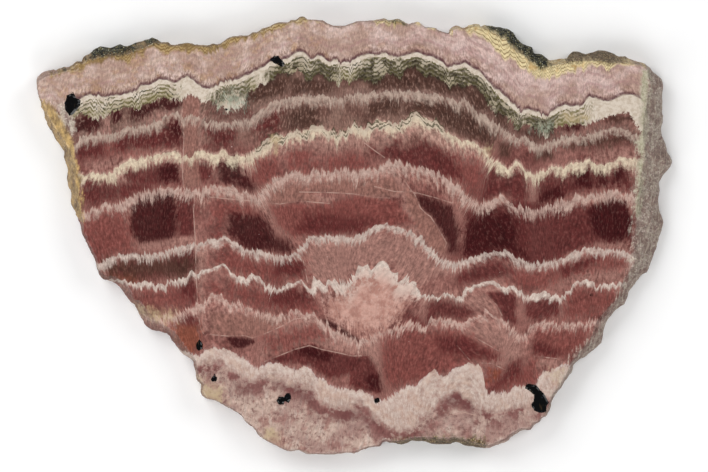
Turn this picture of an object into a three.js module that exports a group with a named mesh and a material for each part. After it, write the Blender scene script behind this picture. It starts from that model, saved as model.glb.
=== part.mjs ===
// A polished slice of banded rhodochrosite, lying on its sawn back.
// Millimetres, +Z up out of the polished face, +Y towards the pale outer band of the vein.
// The origin is on the back, under the middle of the outline.
//
// The slice is one piece of stone. Its front and back are flat, because a saw made them, and its
// edge is the broken rim of the vein. Where the rim crumbled, the polished face stops short of the
// outline and the edge slopes down to it.

import * as THREE from "three";

const THICKNESS = 6; // from the sawn back to the polished face
const BACK_CHIP = 0.35; // width of the chips the saw left along the back edge
const CHIP_SPREAD = 0.4; // share of that width by which the chips differ
const CHIP_TURN = 2.9; // radians that the chips' width turns from one outline point to the next
const RIM_WAVE = 0.3; // how far the broken edge wanders in and out between its levels
const FAST_TURN = 1.7; // radians that the wander turns from one outline point to the next
const SLOW_TURN = 0.61; // radians that its slower swell turns
const LEVEL_TURN = 2.3; // radians that the wander turns from one level to the next
const SLICE_COLOUR = 0x9a625b;

// The levels of the edge, from the back up. "rise" is the share of the thickness, "slope" is the
// share of the rim's width that the edge has drawn in by there, "wave" is the share of RIM_WAVE and
// "chip" is the share of BACK_CHIP.
const EDGE_LEVELS = [
  { rise: 0, slope: 0, wave: 0, chip: 1 },
  { rise: 0.1, slope: 0, wave: 0, chip: 0 },
  { rise: 0.36, slope: 0.03, wave: 0.5, chip: 0 },
  { rise: 0.6, slope: 0.2, wave: 1, chip: 0 },
  { rise: 0.8, slope: 0.48, wave: 0.8, chip: 0 },
  { rise: 0.94, slope: 0.82, wave: 0.4, chip: 0 },
  { rise: 1, slope: 1, wave: 0, chip: 0 },
];

// The outline, clockwise from the left tip: x, y and the width of the rim outside the polished face.
const OUTLINE = [
  // left tip and the worn shoulder above it
  [-63.7, 31.0, 0.6], [-63.4, 31.9, 1.0], [-62.4, 32.8, 1.2], [-60.7, 33.3, 1.2],
  [-59.9, 33.1, 0.8], [-58.1, 33.9, 0.9], [-57.2, 33.9, 0.7], [-55.6, 34.9, 0.5],
  [-54.7, 34.9, 0.6],
  // dark crust of wall rock on the left
  [-54.3, 35.8, 0.9], [-53.2, 36.4, 1.3], [-52.0, 37.6, 2.1], [-50.7, 38.1, 2.3],
  [-49.0, 37.8, 2.0], [-47.0, 38.3, 2.1], [-45.9, 38.0, 1.7], [-44.3, 38.5, 1.5],
  [-42.4, 39.1, 1.5], [-40.6, 39.7, 1.3], [-39.6, 39.4, 0.9], [-39.0, 38.8, 0.5],
  // clean outer edge of the pink band, over the hump in the middle
  [-37.6, 38.6, 0.3], [-36.6, 38.1, 0.3], [-35.0, 38.4, 0.3], [-33.4, 38.7, 0.3],
  [-31.7, 38.2, 0.3], [-29.0, 38.0, 0.3], [-28.2, 38.4, 0.3], [-27.4, 38.3, 0.3],
  [-26.0, 39.2, 0.3], [-25.0, 39.7, 0.3], [-23.1, 40.0, 0.3], [-21.3, 40.1, 0.3],
  [-20.4, 40.7, 0.3], [-19.5, 40.7, 0.3], [-18.3, 41.4, 0.3], [-16.9, 41.9, 0.3],
  [-16.0, 42.5, 0.3], [-13.4, 42.7, 0.3], [-12.7, 43.1, 0.3], [-11.8, 43.1, 0.3],
  [-10.9, 43.8, 0.3], [-10.2, 43.9, 0.3], [-9.4, 43.4, 0.3], [-6.8, 43.1, 0.3],
  [-4.9, 42.3, 0.3], [-3.5, 41.9, 0.3], [-2.2, 42.0, 0.3], [0, 42.7, 0.3],
  [1.2, 43.0, 0.3], [3.8, 43.0, 0.3], [5.9, 43.4, 0.4], [7.0, 43.2, 0.5],
  [8.4, 43.4, 0.5], [9.6, 43.0, 0.5], [10.9, 42.3, 0.4], [12.8, 42.9, 0.3],
  [14.1, 41.8, 0.3], [15.3, 41.8, 0.3], [16.4, 41.6, 0.3], [16.8, 41.1, 0.3],
  [18.9, 40.6, 0.3], [19.1, 41.2, 0.4], [20.0, 41.8, 0.5], [21.1, 41.9, 0.5],
  [22.0, 41.6, 0.5], [23.3, 42.1, 0.4], [25.0, 42.3, 0.4], [25.3, 41.9, 0.5],
  // dark crust on the right, down to the cleft
  [26.0, 42.2, 0.8], [27.4, 42.2, 1.2], [28.7, 41.8, 1.6], [30.8, 41.3, 2.0],
  [31.8, 40.7, 2.3], [33.4, 38.8, 2.2], [34.3, 38.2, 2.3], [35.6, 37.7, 2.3],
  [36.0, 36.6, 2.0], [37.5, 36.3, 2.1], [38.8, 35.2, 1.6], [39.9, 35.2, 1.2],
  [41.2, 35.5, 1.2], [42.6, 35.5, 0.9],
  // brown crust
  [42.9, 36.1, 1.3], [43.8, 36.7, 1.8], [45.0, 36.8, 1.8], [46.4, 36.4, 1.5],
  [48.2, 36.8, 1.8], [49.6, 37.1, 2.2], [51.9, 36.6, 2.1], [53.0, 35.9, 1.4],
  [54.2, 35.8, 1.3], [55.4, 35.3, 1.0], [57.0, 34.8, 0.7], [58.1, 34.4, 0.7],
  [59.2, 33.8, 1.0],
  // crumbled right edge
  [60.0, 32.8, 1.6], [61.5, 31.6, 2.4], [62.0, 30.0, 2.9], [61.7, 28.6, 3.0],
  [61.8, 26.8, 3.2], [61.6, 25.0, 3.4], [61.8, 23.3, 3.8], [61.6, 21.2, 3.9],
  [61.8, 20.0, 4.1], [62.6, 17.8, 4.7], [62.8, 16.6, 5.0], [63.7, 14.9, 5.5],
  [63.2, 13.6, 5.3], [61.8, 11.9, 4.5], [61.2, 10.4, 4.2], [61.3, 9.0, 4.4],
  [61.0, 7.0, 4.4], [61.1, 5.3, 4.7], [62.0, 3.0, 5.5], [61.9, 1.6, 5.5],
  [61.2, -0.5, 5.2], [60.4, -2.8, 4.6], [59.6, -4.8, 4.1], [58.9, -6.9, 3.4],
  [57.6, -8.0, 2.7], [56.0, -9.8, 2.3], [55.2, -11.0, 2.1], [54.5, -12.9, 1.9],
  [54.0, -13.6, 1.7], [52.3, -15.0, 1.5], [51.2, -16.3, 1.6], [50.3, -18.0, 1.9],
  [49.9, -19.2, 2.1], [49.8, -20.4, 2.3], [49.3, -21.5, 2.4], [48.0, -22.8, 2.0],
  [45.4, -24.8, 1.2], [44.0, -26.0, 1.0], [43.6, -27.4, 0.9], [42.6, -28.6, 0.6],
  // lower right, back to the cleaner edge
  [41.4, -30.4, 0.5], [40.2, -31.8, 0.5], [39.6, -33.2, 0.5], [38.6, -35.9, 0.5],
  [37.6, -36.6, 0.4], [37.0, -37.5, 0.5], [36.0, -38.0, 0.6], [35.3, -38.9, 0.6],
  [33.2, -39.1, 0.5], [32.6, -39.7, 0.6], [31.3, -40.3, 0.6], [30.8, -41.1, 0.7],
  [29.4, -41.6, 0.6], [27.1, -42.6, 0.7], [25.2, -42.5, 0.8],
  // foot of the slice
  [22.0, -42.0, 1.3], [20.6, -41.5, 1.1], [19.0, -41.8, 1.3], [16.7, -41.9, 1.4],
  [15.3, -41.7, 1.3], [13.9, -41.3, 1.0], [11.6, -41.1, 0.7], [10.9, -41.4, 0.7],
  [9.0, -41.7, 0.6], [7.1, -41.6, 0.5], [6.4, -41.2, 0.4], [5.6, -41.5, 0.4],
  [5.0, -42.3, 0.4], [3.2, -42.4, 0.3], [1.5, -42.9, 0.3], [0, -43.6, 0.3],
  [-2.1, -43.6, 0.3], [-5.0, -43.9, 0.3], [-9.0, -43.8, 0.3], [-11.3, -43.0, 0.3],
  [-12.8, -43.2, 0.3], [-14.0, -43.0, 0.3],
  // long lower-left edge
  [-16.4, -41.8, 0.3], [-18.0, -40.9, 0.3], [-19.2, -39.7, 0.3], [-20.6, -38.3, 0.3],
  [-22.0, -37.1, 0.3], [-22.7, -36.1, 0.3], [-25.0, -34.6, 0.3], [-28.0, -33.1, 0.3],
  [-29.7, -32.7, 0.3], [-30.8, -31.5, 0.4], [-30.8, -29.9, 0.6], [-31.7, -28.9, 0.7],
  [-32.0, -27.0, 0.6], [-32.4, -25.3, 0.7], [-33.5, -24.4, 1.0], [-35.0, -23.3, 1.4],
  [-36.3, -21.2, 1.5], [-37.6, -19.6, 1.2], [-40.3, -19.0, 1.9], [-41.9, -18.0, 2.2],
  [-43.6, -15.0, 1.6], [-44.2, -13.8, 1.3], [-45.0, -13.4, 1.1], [-46.2, -11.5, 1.3],
  [-47.2, -10.3, 1.5], [-48.9, -9.2, 1.2], [-50.3, -8.7, 0.8], [-51.3, -7.6, 0.6],
  [-52.1, -4.8, 0.4], [-52.8, -3.2, 0.4], [-53.7, -1.4, 0.4], [-54.6, 0.4, 0.5],
  // stained left edge, up to the tip
  [-55.0, 2.3, 0.8], [-56.8, 6.5, 1.4], [-56.8, 8.5, 1.6], [-57.5, 10.0, 1.8],
  [-57.7, 11.8, 1.9], [-57.5, 13.2, 1.8], [-58.2, 15.5, 1.6], [-58.3, 17.0, 1.2],
  [-60.0, 19.7, 1.0], [-62.0, 23.3, 0.9], [-62.6, 25.5, 0.7], [-63.4, 27.8, 0.4],
  [-63.7, 29.4, 0.4],
];

// Unit vector into the stone at each outline point, square to the edge around it.
function inwardNormals(outline) {
  const reach = 2; // neighbours on each side that set the direction of the edge
  const count = outline.length;
  return outline.map((_, i) => {
    const before = outline[(i - reach + count) % count];
    const after = outline[(i + reach) % count];
    const along = new THREE.Vector2(after[0] - before[0], after[1] - before[1]).normalize();
    return new THREE.Vector2(along.y, -along.x);
  });
}

// One closed loop of the edge at a level: the outline drawn in by the rim, the wave and the chips.
function edgeLoop(outline, normals, level, levelIndex) {
  return outline.map(([x, y, rim], i) => {
    const swell = Math.cos(i * SLOW_TURN - levelIndex);
    const wander = (1 + swell * Math.sin(i * FAST_TURN + levelIndex * LEVEL_TURN)) / 2;
    const chips = BACK_CHIP * (1 - CHIP_SPREAD * (1 - Math.sin(i * CHIP_TURN)));
    const inset = rim * level.slope + RIM_WAVE * level.wave * wander + chips * level.chip;
    return new THREE.Vector3(
      x + normals[i].x * inset,
      y + normals[i].y * inset,
      THICKNESS * level.rise,
    );
  });
}

// The stone: the loops joined into a wall, with a flat back and a flat polished face.
function sliceGeometry() {
  const normals = inwardNormals(OUTLINE);
  const loops = EDGE_LEVELS.map((level, k) => edgeLoop(OUTLINE, normals, level, k));
  const count = OUTLINE.length;
  const indices = [];
  for (let k = 0; k + 1 < loops.length; k += 1) {
    for (let i = 0; i < count; i += 1) {
      const low = k * count + i;
      const lowNext = k * count + ((i + 1) % count);
      const high = low + count;
      const highNext = lowNext + count;
      indices.push(low, high, lowNext, lowNext, high, highNext);
    }
  }
  // Triangles come back facing up, which is right for the face and turned over for the back.
  const flat = (loop) => loop.map((point) => new THREE.Vector2(point.x, point.y));
  const faceStart = (loops.length - 1) * count;
  for (const [a, b, c] of THREE.ShapeUtils.triangulateShape(flat(loops[0]), [])) {
    indices.push(a, c, b);
  }
  for (const [a, b, c] of THREE.ShapeUtils.triangulateShape(flat(loops[loops.length - 1]), [])) {
    indices.push(faceStart + a, faceStart + b, faceStart + c);
  }
  const geometry = new THREE.BufferGeometry().setFromPoints(loops.flat());
  geometry.setIndex(indices);
  geometry.computeVertexNormals();
  return geometry;
}

const slice = new THREE.Mesh(
  sliceGeometry(),
  new THREE.MeshStandardMaterial({ color: SLICE_COLOUR, roughness: 0.25, metalness: 0 }),
);
slice.name = "rhodochrosite_slice";

const specimen = new THREE.Group();
specimen.add(slice);

export default specimen;
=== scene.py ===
# A polished slice of banded rhodochrosite, lying on its sawn back on a pale table.
# Metres, +Z up out of the polished face, +Y towards the pale outer band of the vein. The tables
# of lines and patches are in millimetres.

import math

import bpy
import numpy as np
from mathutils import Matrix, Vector, noise
from mathutils.geometry import delaunay_2d_cdt
from mathutils.kdtree import KDTree


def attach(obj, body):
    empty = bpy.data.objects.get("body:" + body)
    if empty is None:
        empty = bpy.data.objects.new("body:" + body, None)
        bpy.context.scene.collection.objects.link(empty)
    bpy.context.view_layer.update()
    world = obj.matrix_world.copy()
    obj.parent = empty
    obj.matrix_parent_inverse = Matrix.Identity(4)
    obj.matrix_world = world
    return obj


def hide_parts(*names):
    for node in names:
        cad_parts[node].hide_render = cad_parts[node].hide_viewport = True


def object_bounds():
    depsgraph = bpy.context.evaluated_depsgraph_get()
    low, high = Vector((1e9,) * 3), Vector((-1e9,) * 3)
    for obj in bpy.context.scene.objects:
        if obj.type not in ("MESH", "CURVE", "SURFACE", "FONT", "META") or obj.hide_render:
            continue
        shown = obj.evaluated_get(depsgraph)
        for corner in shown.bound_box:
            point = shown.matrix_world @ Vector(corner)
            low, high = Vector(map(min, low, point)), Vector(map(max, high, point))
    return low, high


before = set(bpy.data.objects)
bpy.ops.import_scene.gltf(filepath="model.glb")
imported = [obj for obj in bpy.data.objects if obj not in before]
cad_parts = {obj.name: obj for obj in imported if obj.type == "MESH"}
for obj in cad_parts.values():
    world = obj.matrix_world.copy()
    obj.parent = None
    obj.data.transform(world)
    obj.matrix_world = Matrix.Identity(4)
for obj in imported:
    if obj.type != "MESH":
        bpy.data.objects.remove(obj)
cad_low, cad_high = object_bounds()
MM = 0.001


# ---- The broken edge ----------------------------------------------------------------------------
# The slice was cut out of a vein whose rim was left as it broke. The saw made the face and the
# back flat; between them the edge is bare stone that slopes out where the rim crumbled. Its shape
# comes from the CAD solid's levels, and crumbs and grains are added at their real size.

NODE = "rhodochrosite_slice"
MOST_TURN = 6  # places by which the starts of two levels' loops may differ
EDGE_STEP = 0.36  # mm between vertices along the edge
EDGE_ROWS = (2, 4, 4, 5, 6, 5)  # rows of vertices between one level of the solid and the next
LOW_ROW = 4  # a row low on the edge, which tells how far the rim slopes out and where it faces
LUMP_SIZE = 2.6  # mm across the lumps of the broken edge
GRAIN_SIZE = 0.8  # mm across the grains on them
SLOPE_WIDTH = 2.5  # mm that the rim slopes out where it crumbled most


def edge_levels(mesh):
    """The solid's closed loops in mm, from the back up, each running the same way round."""
    corners = np.empty(len(mesh.vertices) * 3)
    mesh.vertices.foreach_get("co", corners)
    corners = np.round(corners.reshape(-1, 3) / MM, 4)
    points, welded = np.unique(corners, axis=0, return_inverse=True)
    welded = welded.ravel()
    links = {}
    for polygon in mesh.polygons:
        ring = [int(welded[v]) for v in polygon.vertices]
        if len({points[v][2] for v in ring}) == 1:
            continue
        for a, b in zip(ring, ring[1:] + ring[:1]):
            if points[a][2] == points[b][2]:
                links.setdefault(a, set()).add(b)
                links.setdefault(b, set()).add(a)
    loops = []
    for height in sorted({points[v][2] for v in links}):
        level = [v for v in links if points[v][2] == height]
        start = min(level, key=lambda v: points[v][0])
        following = max(links[start], key=lambda v: points[v][1])
        loop = [start, following]
        while True:
            onward = [v for v in links[loop[-1]] if v != loop[-2]]
            if onward[0] == start:
                break
            loop.append(onward[0])
        loops.append(points[loop])
    for below, k in zip(loops, range(1, len(loops))):
        gaps = [
            np.hypot(*(np.roll(loops[k], -turn, axis=0) - below)[:, :2].T).sum()
            for turn in range(-MOST_TURN, MOST_TURN + 1)
        ]
        loops[k] = np.roll(loops[k], MOST_TURN - int(np.argmin(gaps)), axis=0)
    return np.array(loops)


def smooth_between(before, start, end, after, s):
    """A point a share s of the way from start to end, on a curve that leans on their neighbours."""
    lean = 0.35
    return (
        (2 * s**3 - 3 * s**2 + 1) * start
        + (s**3 - 2 * s**2 + s) * lean * (end - before)
        + (3 * s**2 - 2 * s**3) * end
        + (s**3 - s**2) * lean * (after - start)
    )


def edge_grid(levels):
    """The edge as rows of points from the back up, each row running round the slice."""
    columns = []
    count = levels.shape[1]
    for i in range(count):
        quad = [levels[:, (i + k) % count] for k in (-1, 0, 1, 2)]
        length = np.hypot(*(quad[2] - quad[1])[1][:2])
        steps = max(1, round(length / EDGE_STEP))
        columns += [smooth_between(*quad, k / steps) for k in range(steps)]
    columns = np.array(columns)
    rows = []
    for k, steps in enumerate(EDGE_ROWS):
        low, high = columns[:, k], columns[:, k + 1]
        rows += [low + (high - low) * step / steps for step in range(steps)]
    rows.append(columns[:, -1])
    return np.array(rows)


def grain(points, size, seed, octaves=3):
    """Noise from -1 to 1 at each point, with lumps of about that size in mm."""
    shift = Vector((seed * 13.7, seed * 7.1, seed * 3.3))
    return np.array([
        noise.fractal(Vector(p) / size + shift, 0.8, 2.1, octaves) for p in points.tolist()
    ])


def crumble(rows, outward):
    """Breaks the edge up: steps and hollows across it, and grains where it is rough."""
    total, count = rows.shape[:2]
    flat = rows.reshape(-1, 3)
    lumps = grain(flat, LUMP_SIZE, 1).reshape(total, count)
    grains = grain(flat, GRAIN_SIZE, 2).reshape(total, count)
    height = rows[:, :, 2] / rows[-1, 0, 2]
    body = np.sin(np.pi * np.clip(height, 0, 1)) ** 0.5
    rim = np.hypot(*(rows[LOW_ROW] - rows[-1])[:, :2].T)
    slope = np.clip(rim / SLOPE_WIDTH, 0, 1)[None, :] * np.clip((height - 0.3) / 0.3, 0, 1)
    # lumps and grains, in mm, that stand out most halfway up and end at the saw's two edges
    push = body * (0.32 * lumps + 0.16 * grains)
    broken = rows + outward[None] * push[:, :, None]
    # where the rim slopes, the stone is broken up and down too
    top = np.clip((1 - height) / 0.06, 0, 1)
    broken[:, :, 2] += slope * top * (0.5 * lumps + 0.34 * grains - 0.1)
    # small chips along the saw's two sharp edges
    chips = np.clip(grain(rows[-1], 0.9, 3) * 0.5 + 0.1, 0, 1)
    broken[-1] -= outward * (0.35 * chips * (0.4 + slope[-2]))[:, None]
    broken[0] -= outward * (0.3 * np.clip(grain(rows[0], 1.3, 4), 0, 1))[:, None]
    broken[:, :, 2] = np.clip(broken[:, :, 2], 0, rows[-1, 0, 2])
    return broken


levels = edge_levels(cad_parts[NODE].data)
THICKNESS = levels[-1, 0, 2]
edge = edge_grid(levels)
along_edge = np.roll(edge[LOW_ROW], -3, axis=0) - np.roll(edge[LOW_ROW], 3, axis=0)
edge_outward = np.stack([-along_edge[:, 1], along_edge[:, 0], 0 * along_edge[:, 0]], axis=1)
edge_outward /= np.linalg.norm(edge_outward, axis=1)[:, None]
edge = crumble(edge, edge_outward)


# ---- The growth bands ---------------------------------------------------------------------------
# The vein filled in layer by layer. Each layer began as a thin pale film on the dog-tooth tips of
# the last one and grew into clear dark red crystal, so every boundary is a row of sharp tips that
# point to the outer band. The lines are the boundaries' runs across the slice, in mm.

LINES = {
    "white_band_foot": [
        (-64, -22), (-36, -25), (-31.5, -26), (-29, -25), (-26, -26.2), (-23.5, -27.5),
        (-20, -29.3), (-16.5, -28), (-13, -29.5), (-10, -29.4), (-8, -31.5), (-6.8, -34),
        (-3.5, -34), (-2, -34.8), (0, -33.3), (2.5, -34.5), (4.5, -36.8), (6.5, -38.6),
        (10.5, -39), (12.5, -37.5), (14.5, -35.8), (17.5, -33.2), (20, -31), (23, -32.3),
        (24.5, -34.7), (29, -35.2), (33.5, -34), (37, -33.5), (42, -31), (64, -26),
    ],
    "white_band_top": [
        (-64, -20), (-36, -23), (-32, -24), (-28, -22.6), (-24, -23.2), (-22, -25),
        (-19.5, -26.8), (-17, -25.3), (-12, -26.9), (-10, -26.2), (-8, -27.9), (-4, -30.6),
        (0, -30.7), (3, -32), (4.8, -33.3), (7, -32.5), (9.5, -30.8), (13, -29.3), (16, -27),
        (17.5, -28.7), (20, -26.6), (23, -25.7), (25.5, -26), (26.3, -31), (28.5, -31.8),
        (33, -30.2), (35.5, -30.5), (38, -27.2), (42, -26), (64, -22),
    ],
    "feather_3": [
        (-64, -20), (-42, -16.5), (-35, -15.5), (-33.5, -14.8), (-31.5, -13.8), (-29.5, -12.5),
        (-27, -11.7), (-25, -13.7), (-23, -13.3), (-21.5, -14.5), (-19, -15.4), (-15.5, -15.9),
        (-11.2, -15), (-8.5, -15.8), (-6, -17.5), (-3, -19.5), (1, -21), (5.5, -19), (9, -18.2),
        (11, -17), (14, -18.3), (15.5, -16.4), (20, -17), (22, -17.4), (24, -16), (26, -15.3),
        (29, -16.2), (31, -18), (33, -20), (34, -20), (35, -18), (36.5, -17.3), (42, -17.6),
        (48, -17.2), (64, -17),
    ],
    "bright_zigzag": [
        (-64, -12), (-48, -9.2), (-46.5, -8.8), (-44, -9.7), (-41.7, -9), (-39.5, -9.9),
        (-36.3, -8.9), (-34, -8.6), (-32.8, -7), (-31.5, -7.8), (-29, -6.2), (-25.7, -5.9),
        (-24, -8.2), (-21, -7.9), (-19.5, -8), (-17.5, -9.8), (-15, -10.8), (-13.5, -9.6),
        (-10.7, -8.9), (-9.2, -10.5), (-8.3, -8.8), (-5.8, -10), (-5.2, -8.7), (-3.5, -9.2),
        (-1.2, -9.6), (0, -7.5), (1, -6.2), (2.1, -5.8), (3.4, -6.8), (4.7, -5.5), (6.9, -5.5),
        (8, -7.9), (9.7, -8.9), (11.5, -8.6), (13, -11.5), (15, -12.1), (19, -11.6),
        (20.6, -12.5), (22, -10.8), (25.2, -9.5), (28, -8.7), (30.5, -10.5), (32.2, -9.8),
        (34, -12.2), (38, -11.1), (41.7, -12.3), (43, -10.3), (44.7, -9.2), (47.5, -9),
        (48.3, -10.3), (50.3, -9.6), (53.5, -9.5), (64, -10),
    ],
    "white_line": [
        (-64, -12), (-53, -7), (-51.5, -6), (-49.5, -4.6), (-47, -3.7), (-40, -3.6),
        (-37, -2.7), (-33, -1.5), (-30, -1.3), (-28, -0.4), (-25.5, -0.3), (-23.5, -1.4),
        (-22, -2.7), (-18, -3.1), (-16, -3.9), (-13, -3.9), (-11.3, -2.8), (-9.5, -0.8),
        (-9, 0), (-2, 0), (-1, -0.5), (1, 0.3), (3, 1.6), (6.5, 2.7), (8, 1.8), (10, 1.3),
        (13, 0.2), (14.2, -1.6), (16, -3), (17, -4.5), (20, -5.4), (24, -4), (27, -3.3),
        (30, -2.9), (32, -4), (35, -5.6), (38, -5.3), (41, -4.7), (44, -3), (47, -2.4),
        (52, -2.8), (55, -3.3), (64, -5),
    ],
    "feather_2": [
        (-64, 0), (-56, 3.6), (-54.5, 4.5), (-52, 5.4), (-50, 6.5), (-48, 6.1), (-46, 7),
        (-44, 8.4), (-41, 8.8), (-37.5, 9.7), (-33, 9.2), (-31, 9.1), (-28, 10), (-24, 9.8),
        (-22, 8.6), (-19.3, 7.8), (-18.5, 9.3), (-16.5, 11), (-14, 12), (-13, 12.9),
        (-10, 12.5), (-7, 13.1), (-5, 12.8), (-2, 13.5), (0, 12.8), (4, 13.5), (6, 14.6),
        (9, 14.7), (12, 13.8), (14, 13.6), (18, 11.8), (21, 10), (22, 8.3), (24, 6.8),
        (25, 6.4), (29, 8.1), (31, 6.8), (33, 5.9), (36, 5), (38, 6), (42, 7), (44, 8),
        (48, 8.2), (52, 9.3), (56, 8), (64, 6),
    ],
    "cream_zigzag": [
        (-64, 9), (-56, 12), (-54.7, 12.5), (-49.5, 12.3), (-47.5, 13.5), (-45, 15.3),
        (-40.5, 15.8), (-38, 16.8), (-35, 16.7), (-32.6, 15.2), (-31.8, 17.8), (-30, 16.5),
        (-27, 16.4), (-26.3, 17.4), (-25, 16.1), (-22.5, 15.8), (-20.5, 16.2), (-18.5, 17.6),
        (-16, 20.3), (-14.5, 19.6), (-12, 20.4), (-9.5, 21), (-8.3, 21.7), (-3.5, 20.2),
        (-1.3, 20.8), (0, 22.3), (1, 21), (3, 21.5), (4.5, 23), (8.5, 21.8), (10.3, 22.8),
        (12.2, 24.3), (13.8, 23.2), (15.5, 23), (17, 21.5), (18.5, 20.4), (22, 19),
        (24, 18.7), (26, 17.2), (27, 15.5), (29, 14.5), (31, 13.7), (32.7, 14.8),
        (34.2, 13.4), (35.5, 12), (38, 13.3), (44, 14.4), (46.8, 15.3), (48.2, 14.2),
        (51, 14.4), (53, 15.7), (56, 15.4), (58, 14.8), (64, 13),
    ],
    "feather_1": [
        (-64, 16), (-56.3, 17.5), (-55.5, 18.8), (-53.5, 20.3), (-52, 20.6), (-49, 20.2),
        (-46.5, 21.6), (-43, 21.9), (-39.5, 22.8), (-36, 24.6), (-34, 23.8), (-32.5, 24.3),
        (-29.5, 22.9), (-26, 22.6), (-22, 23.2), (-20.5, 23.3), (-18.5, 26), (-15, 27.2),
        (-11, 28), (-7, 28.2), (-3, 27.5), (0, 28.5), (8, 29), (13, 29), (15, 28.6),
        (19, 27.5), (20.5, 27), (22, 27.2), (24, 25.5), (28, 22.6), (32, 19.8), (34, 20),
        (36.5, 18), (39, 18.8), (42, 19.9), (46, 20), (50, 21.2), (52, 21.8), (54, 21.4),
        (57.5, 19.5), (64, 17),
    ],
    "lace_foot": [
        (-64, 21), (-60.5, 22), (-57.5, 22.5), (-55.5, 24.3), (-53.5, 24), (-50.3, 23.8),
        (-49, 25.8), (-47, 25.3), (-44, 26), (-41, 26.7), (-38, 27.6), (-35.5, 28.2),
        (-34.3, 27.4), (-32, 28.9), (-30, 27.8), (-28, 26.4), (-26, 25.4), (-22.5, 25.8),
        (-21.8, 28.8), (-19, 30), (-17, 30.8), (-15.5, 33.2), (-12.8, 32), (-11.3, 33.9),
        (-9, 31.8), (-7.5, 32.7), (-4.3, 31), (-1, 31.2), (3, 31.5), (6, 32.2), (9, 33),
        (12, 34), (13.7, 32.6), (16.5, 31.7), (19, 30.6), (21.3, 30), (23, 30.5), (25, 29),
        (27, 27), (29, 24.8), (31, 23.3), (33, 21.8), (34, 22.6), (36, 21.5), (38, 20.6),
        (40, 21.4), (42, 22.3), (45, 23.3), (48, 22.8), (49, 23.8), (51, 24.6), (55, 24.2),
        (57, 22), (58, 20.5), (64, 18),
    ],
    "purple_line": [
        (-64, 25.6), (-61, 25.3), (-58.5, 24.6), (-57, 26.8), (-55, 27.3), (-52.5, 28.4),
        (-50.5, 27.9), (-48.5, 28.7), (-46.5, 28.1), (-44.8, 28.7), (-43, 30.1), (-41, 30.2),
        (-39, 31.2), (-36, 31), (-33.5, 31.8), (-31, 30.7), (-28.5, 29.4), (-26.5, 30.9),
        (-23.5, 31.2), (-20.5, 32.9), (-18.5, 33.5), (-17, 34.8), (-13, 35.5), (-11.5, 37),
        (-10.3, 37), (-8.8, 35.8), (-7.3, 36.3), (-5.2, 34.8), (-3.5, 35.3), (-2.3, 34.6),
        (0, 35.3), (3, 36.7), (6, 36.7), (7, 35.9), (9, 36.6), (10, 36), (12.5, 36.8),
        (15, 35.9), (17, 35.1), (19.3, 33.8), (22, 34.8), (23.3, 33.5), (25, 32.9),
        (27, 31.2), (29, 28.9), (31, 27.1), (33, 25.1), (35, 25.3), (38, 24.2), (40, 25.2),
        (42, 26.2), (45, 26.3), (46.5, 27.8), (49, 27.4), (51, 27.2), (53, 27.8),
        (55.5, 28.4), (58.5, 27), (61, 26.8), (64, 26.5),
    ],
    "tan_foot": [
        (-64, 32.4), (-58, 32.4), (-55, 33.5), (-52, 34), (-49, 35), (-46, 34.6), (-43, 36),
        (-40.5, 37.4), (-38, 37), (-35, 37), (-31, 36.8), (-29, 36.2), (-27, 37),
        (-25, 38.5), (-20, 39.3), (-17, 40.5), (-15, 41.5), (-10, 42.6), (-6, 43.4),
        (-3, 42.4), (0, 43.2), (5, 42.6), (8, 41.8), (11, 42), (14, 42.2), (17, 41.6),
        (19, 40.7), (22, 41.3), (24, 40.3), (26, 39), (28, 37.5), (30, 35.8), (32, 35),
        (33.5, 33.5), (36, 31.5), (38.5, 31.2), (42, 32.3), (46, 33.4), (49, 34.3),
        (50, 33.4), (53.5, 34.2), (57, 33.8), (60, 33), (64, 32),
    ],
}
ACROSS_STEP = 0.1  # mm between stations across the slice
UPWARD_STEP = 0.25  # mm between stations up it
ACROSS = np.arange(-66, 66.01, ACROSS_STEP)
UPWARD = np.arange(-46, 46.01, UPWARD_STEP)
CORNER_REACH = 0.25  # mm over which a line's corners are rounded
LEAST_GAP = 0.3  # mm between one line and the next
LEAN_REACH = 1.4  # mm over which a line's lean is averaged
MOST_LEAN = 0.8  # mm that a growth fibre may lean in each mm of its height
FIBRE_REACH = 0.8  # mm over which the fibres' lean is averaged
BAND_LEAN = (0.14, -0.22)  # how far the bands wander through the thickness, mm per mm of depth


def softened(values, reach):
    """Values at the stations across, averaged over that reach in mm."""
    offsets = np.arange(-3 * reach, 3 * reach + ACROSS_STEP / 2, ACROSS_STEP)
    weights = np.exp(-0.5 * (offsets / reach) ** 2)
    padded = np.pad(values, len(weights) // 2, mode="edge")
    return np.convolve(padded, weights / weights.sum(), mode="valid")[: len(values)]


def line_runs():
    """Each line's height and lean at every station, from the lowest line up."""
    runs, leans, last = [], [], None
    for points in LINES.values():
        run = np.interp(ACROSS, *np.array(points, float).T)
        run = softened(run, CORNER_REACH)
        if last is not None:
            run = np.maximum(run, last + LEAST_GAP)
        runs.append(run)
        leans.append(softened(np.gradient(run, ACROSS), LEAN_REACH))
        last = run
    return np.array(runs), np.array(leans)


RUNS, LEANS = line_runs()


def fibre_map():
    """For each station, where its growth fibre started at the foot of the slice."""
    fibre = ACROSS.copy()
    rows = []
    for height in UPWARD:
        k = np.clip((RUNS < height).sum(axis=0), 1, len(RUNS) - 1)
        column = np.arange(len(ACROSS))
        low, high = RUNS[k - 1, column], RUNS[k, column]
        share = np.clip((height - low) / (high - low), 0, 1)
        lean = (1 - share) * LEANS[k - 1, column] + share * LEANS[k, column]
        lean = softened(np.clip(lean, -MOST_LEAN, MOST_LEAN), FIBRE_REACH)
        fibre = np.interp(ACROSS + lean * UPWARD_STEP, ACROSS, fibre)
        # drawn back a little to where it would be without any lean
        fibre += (ACROSS - fibre) * 0.02
        rows.append(fibre)
    return np.array(rows)


FIBRES = fibre_map()


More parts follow.
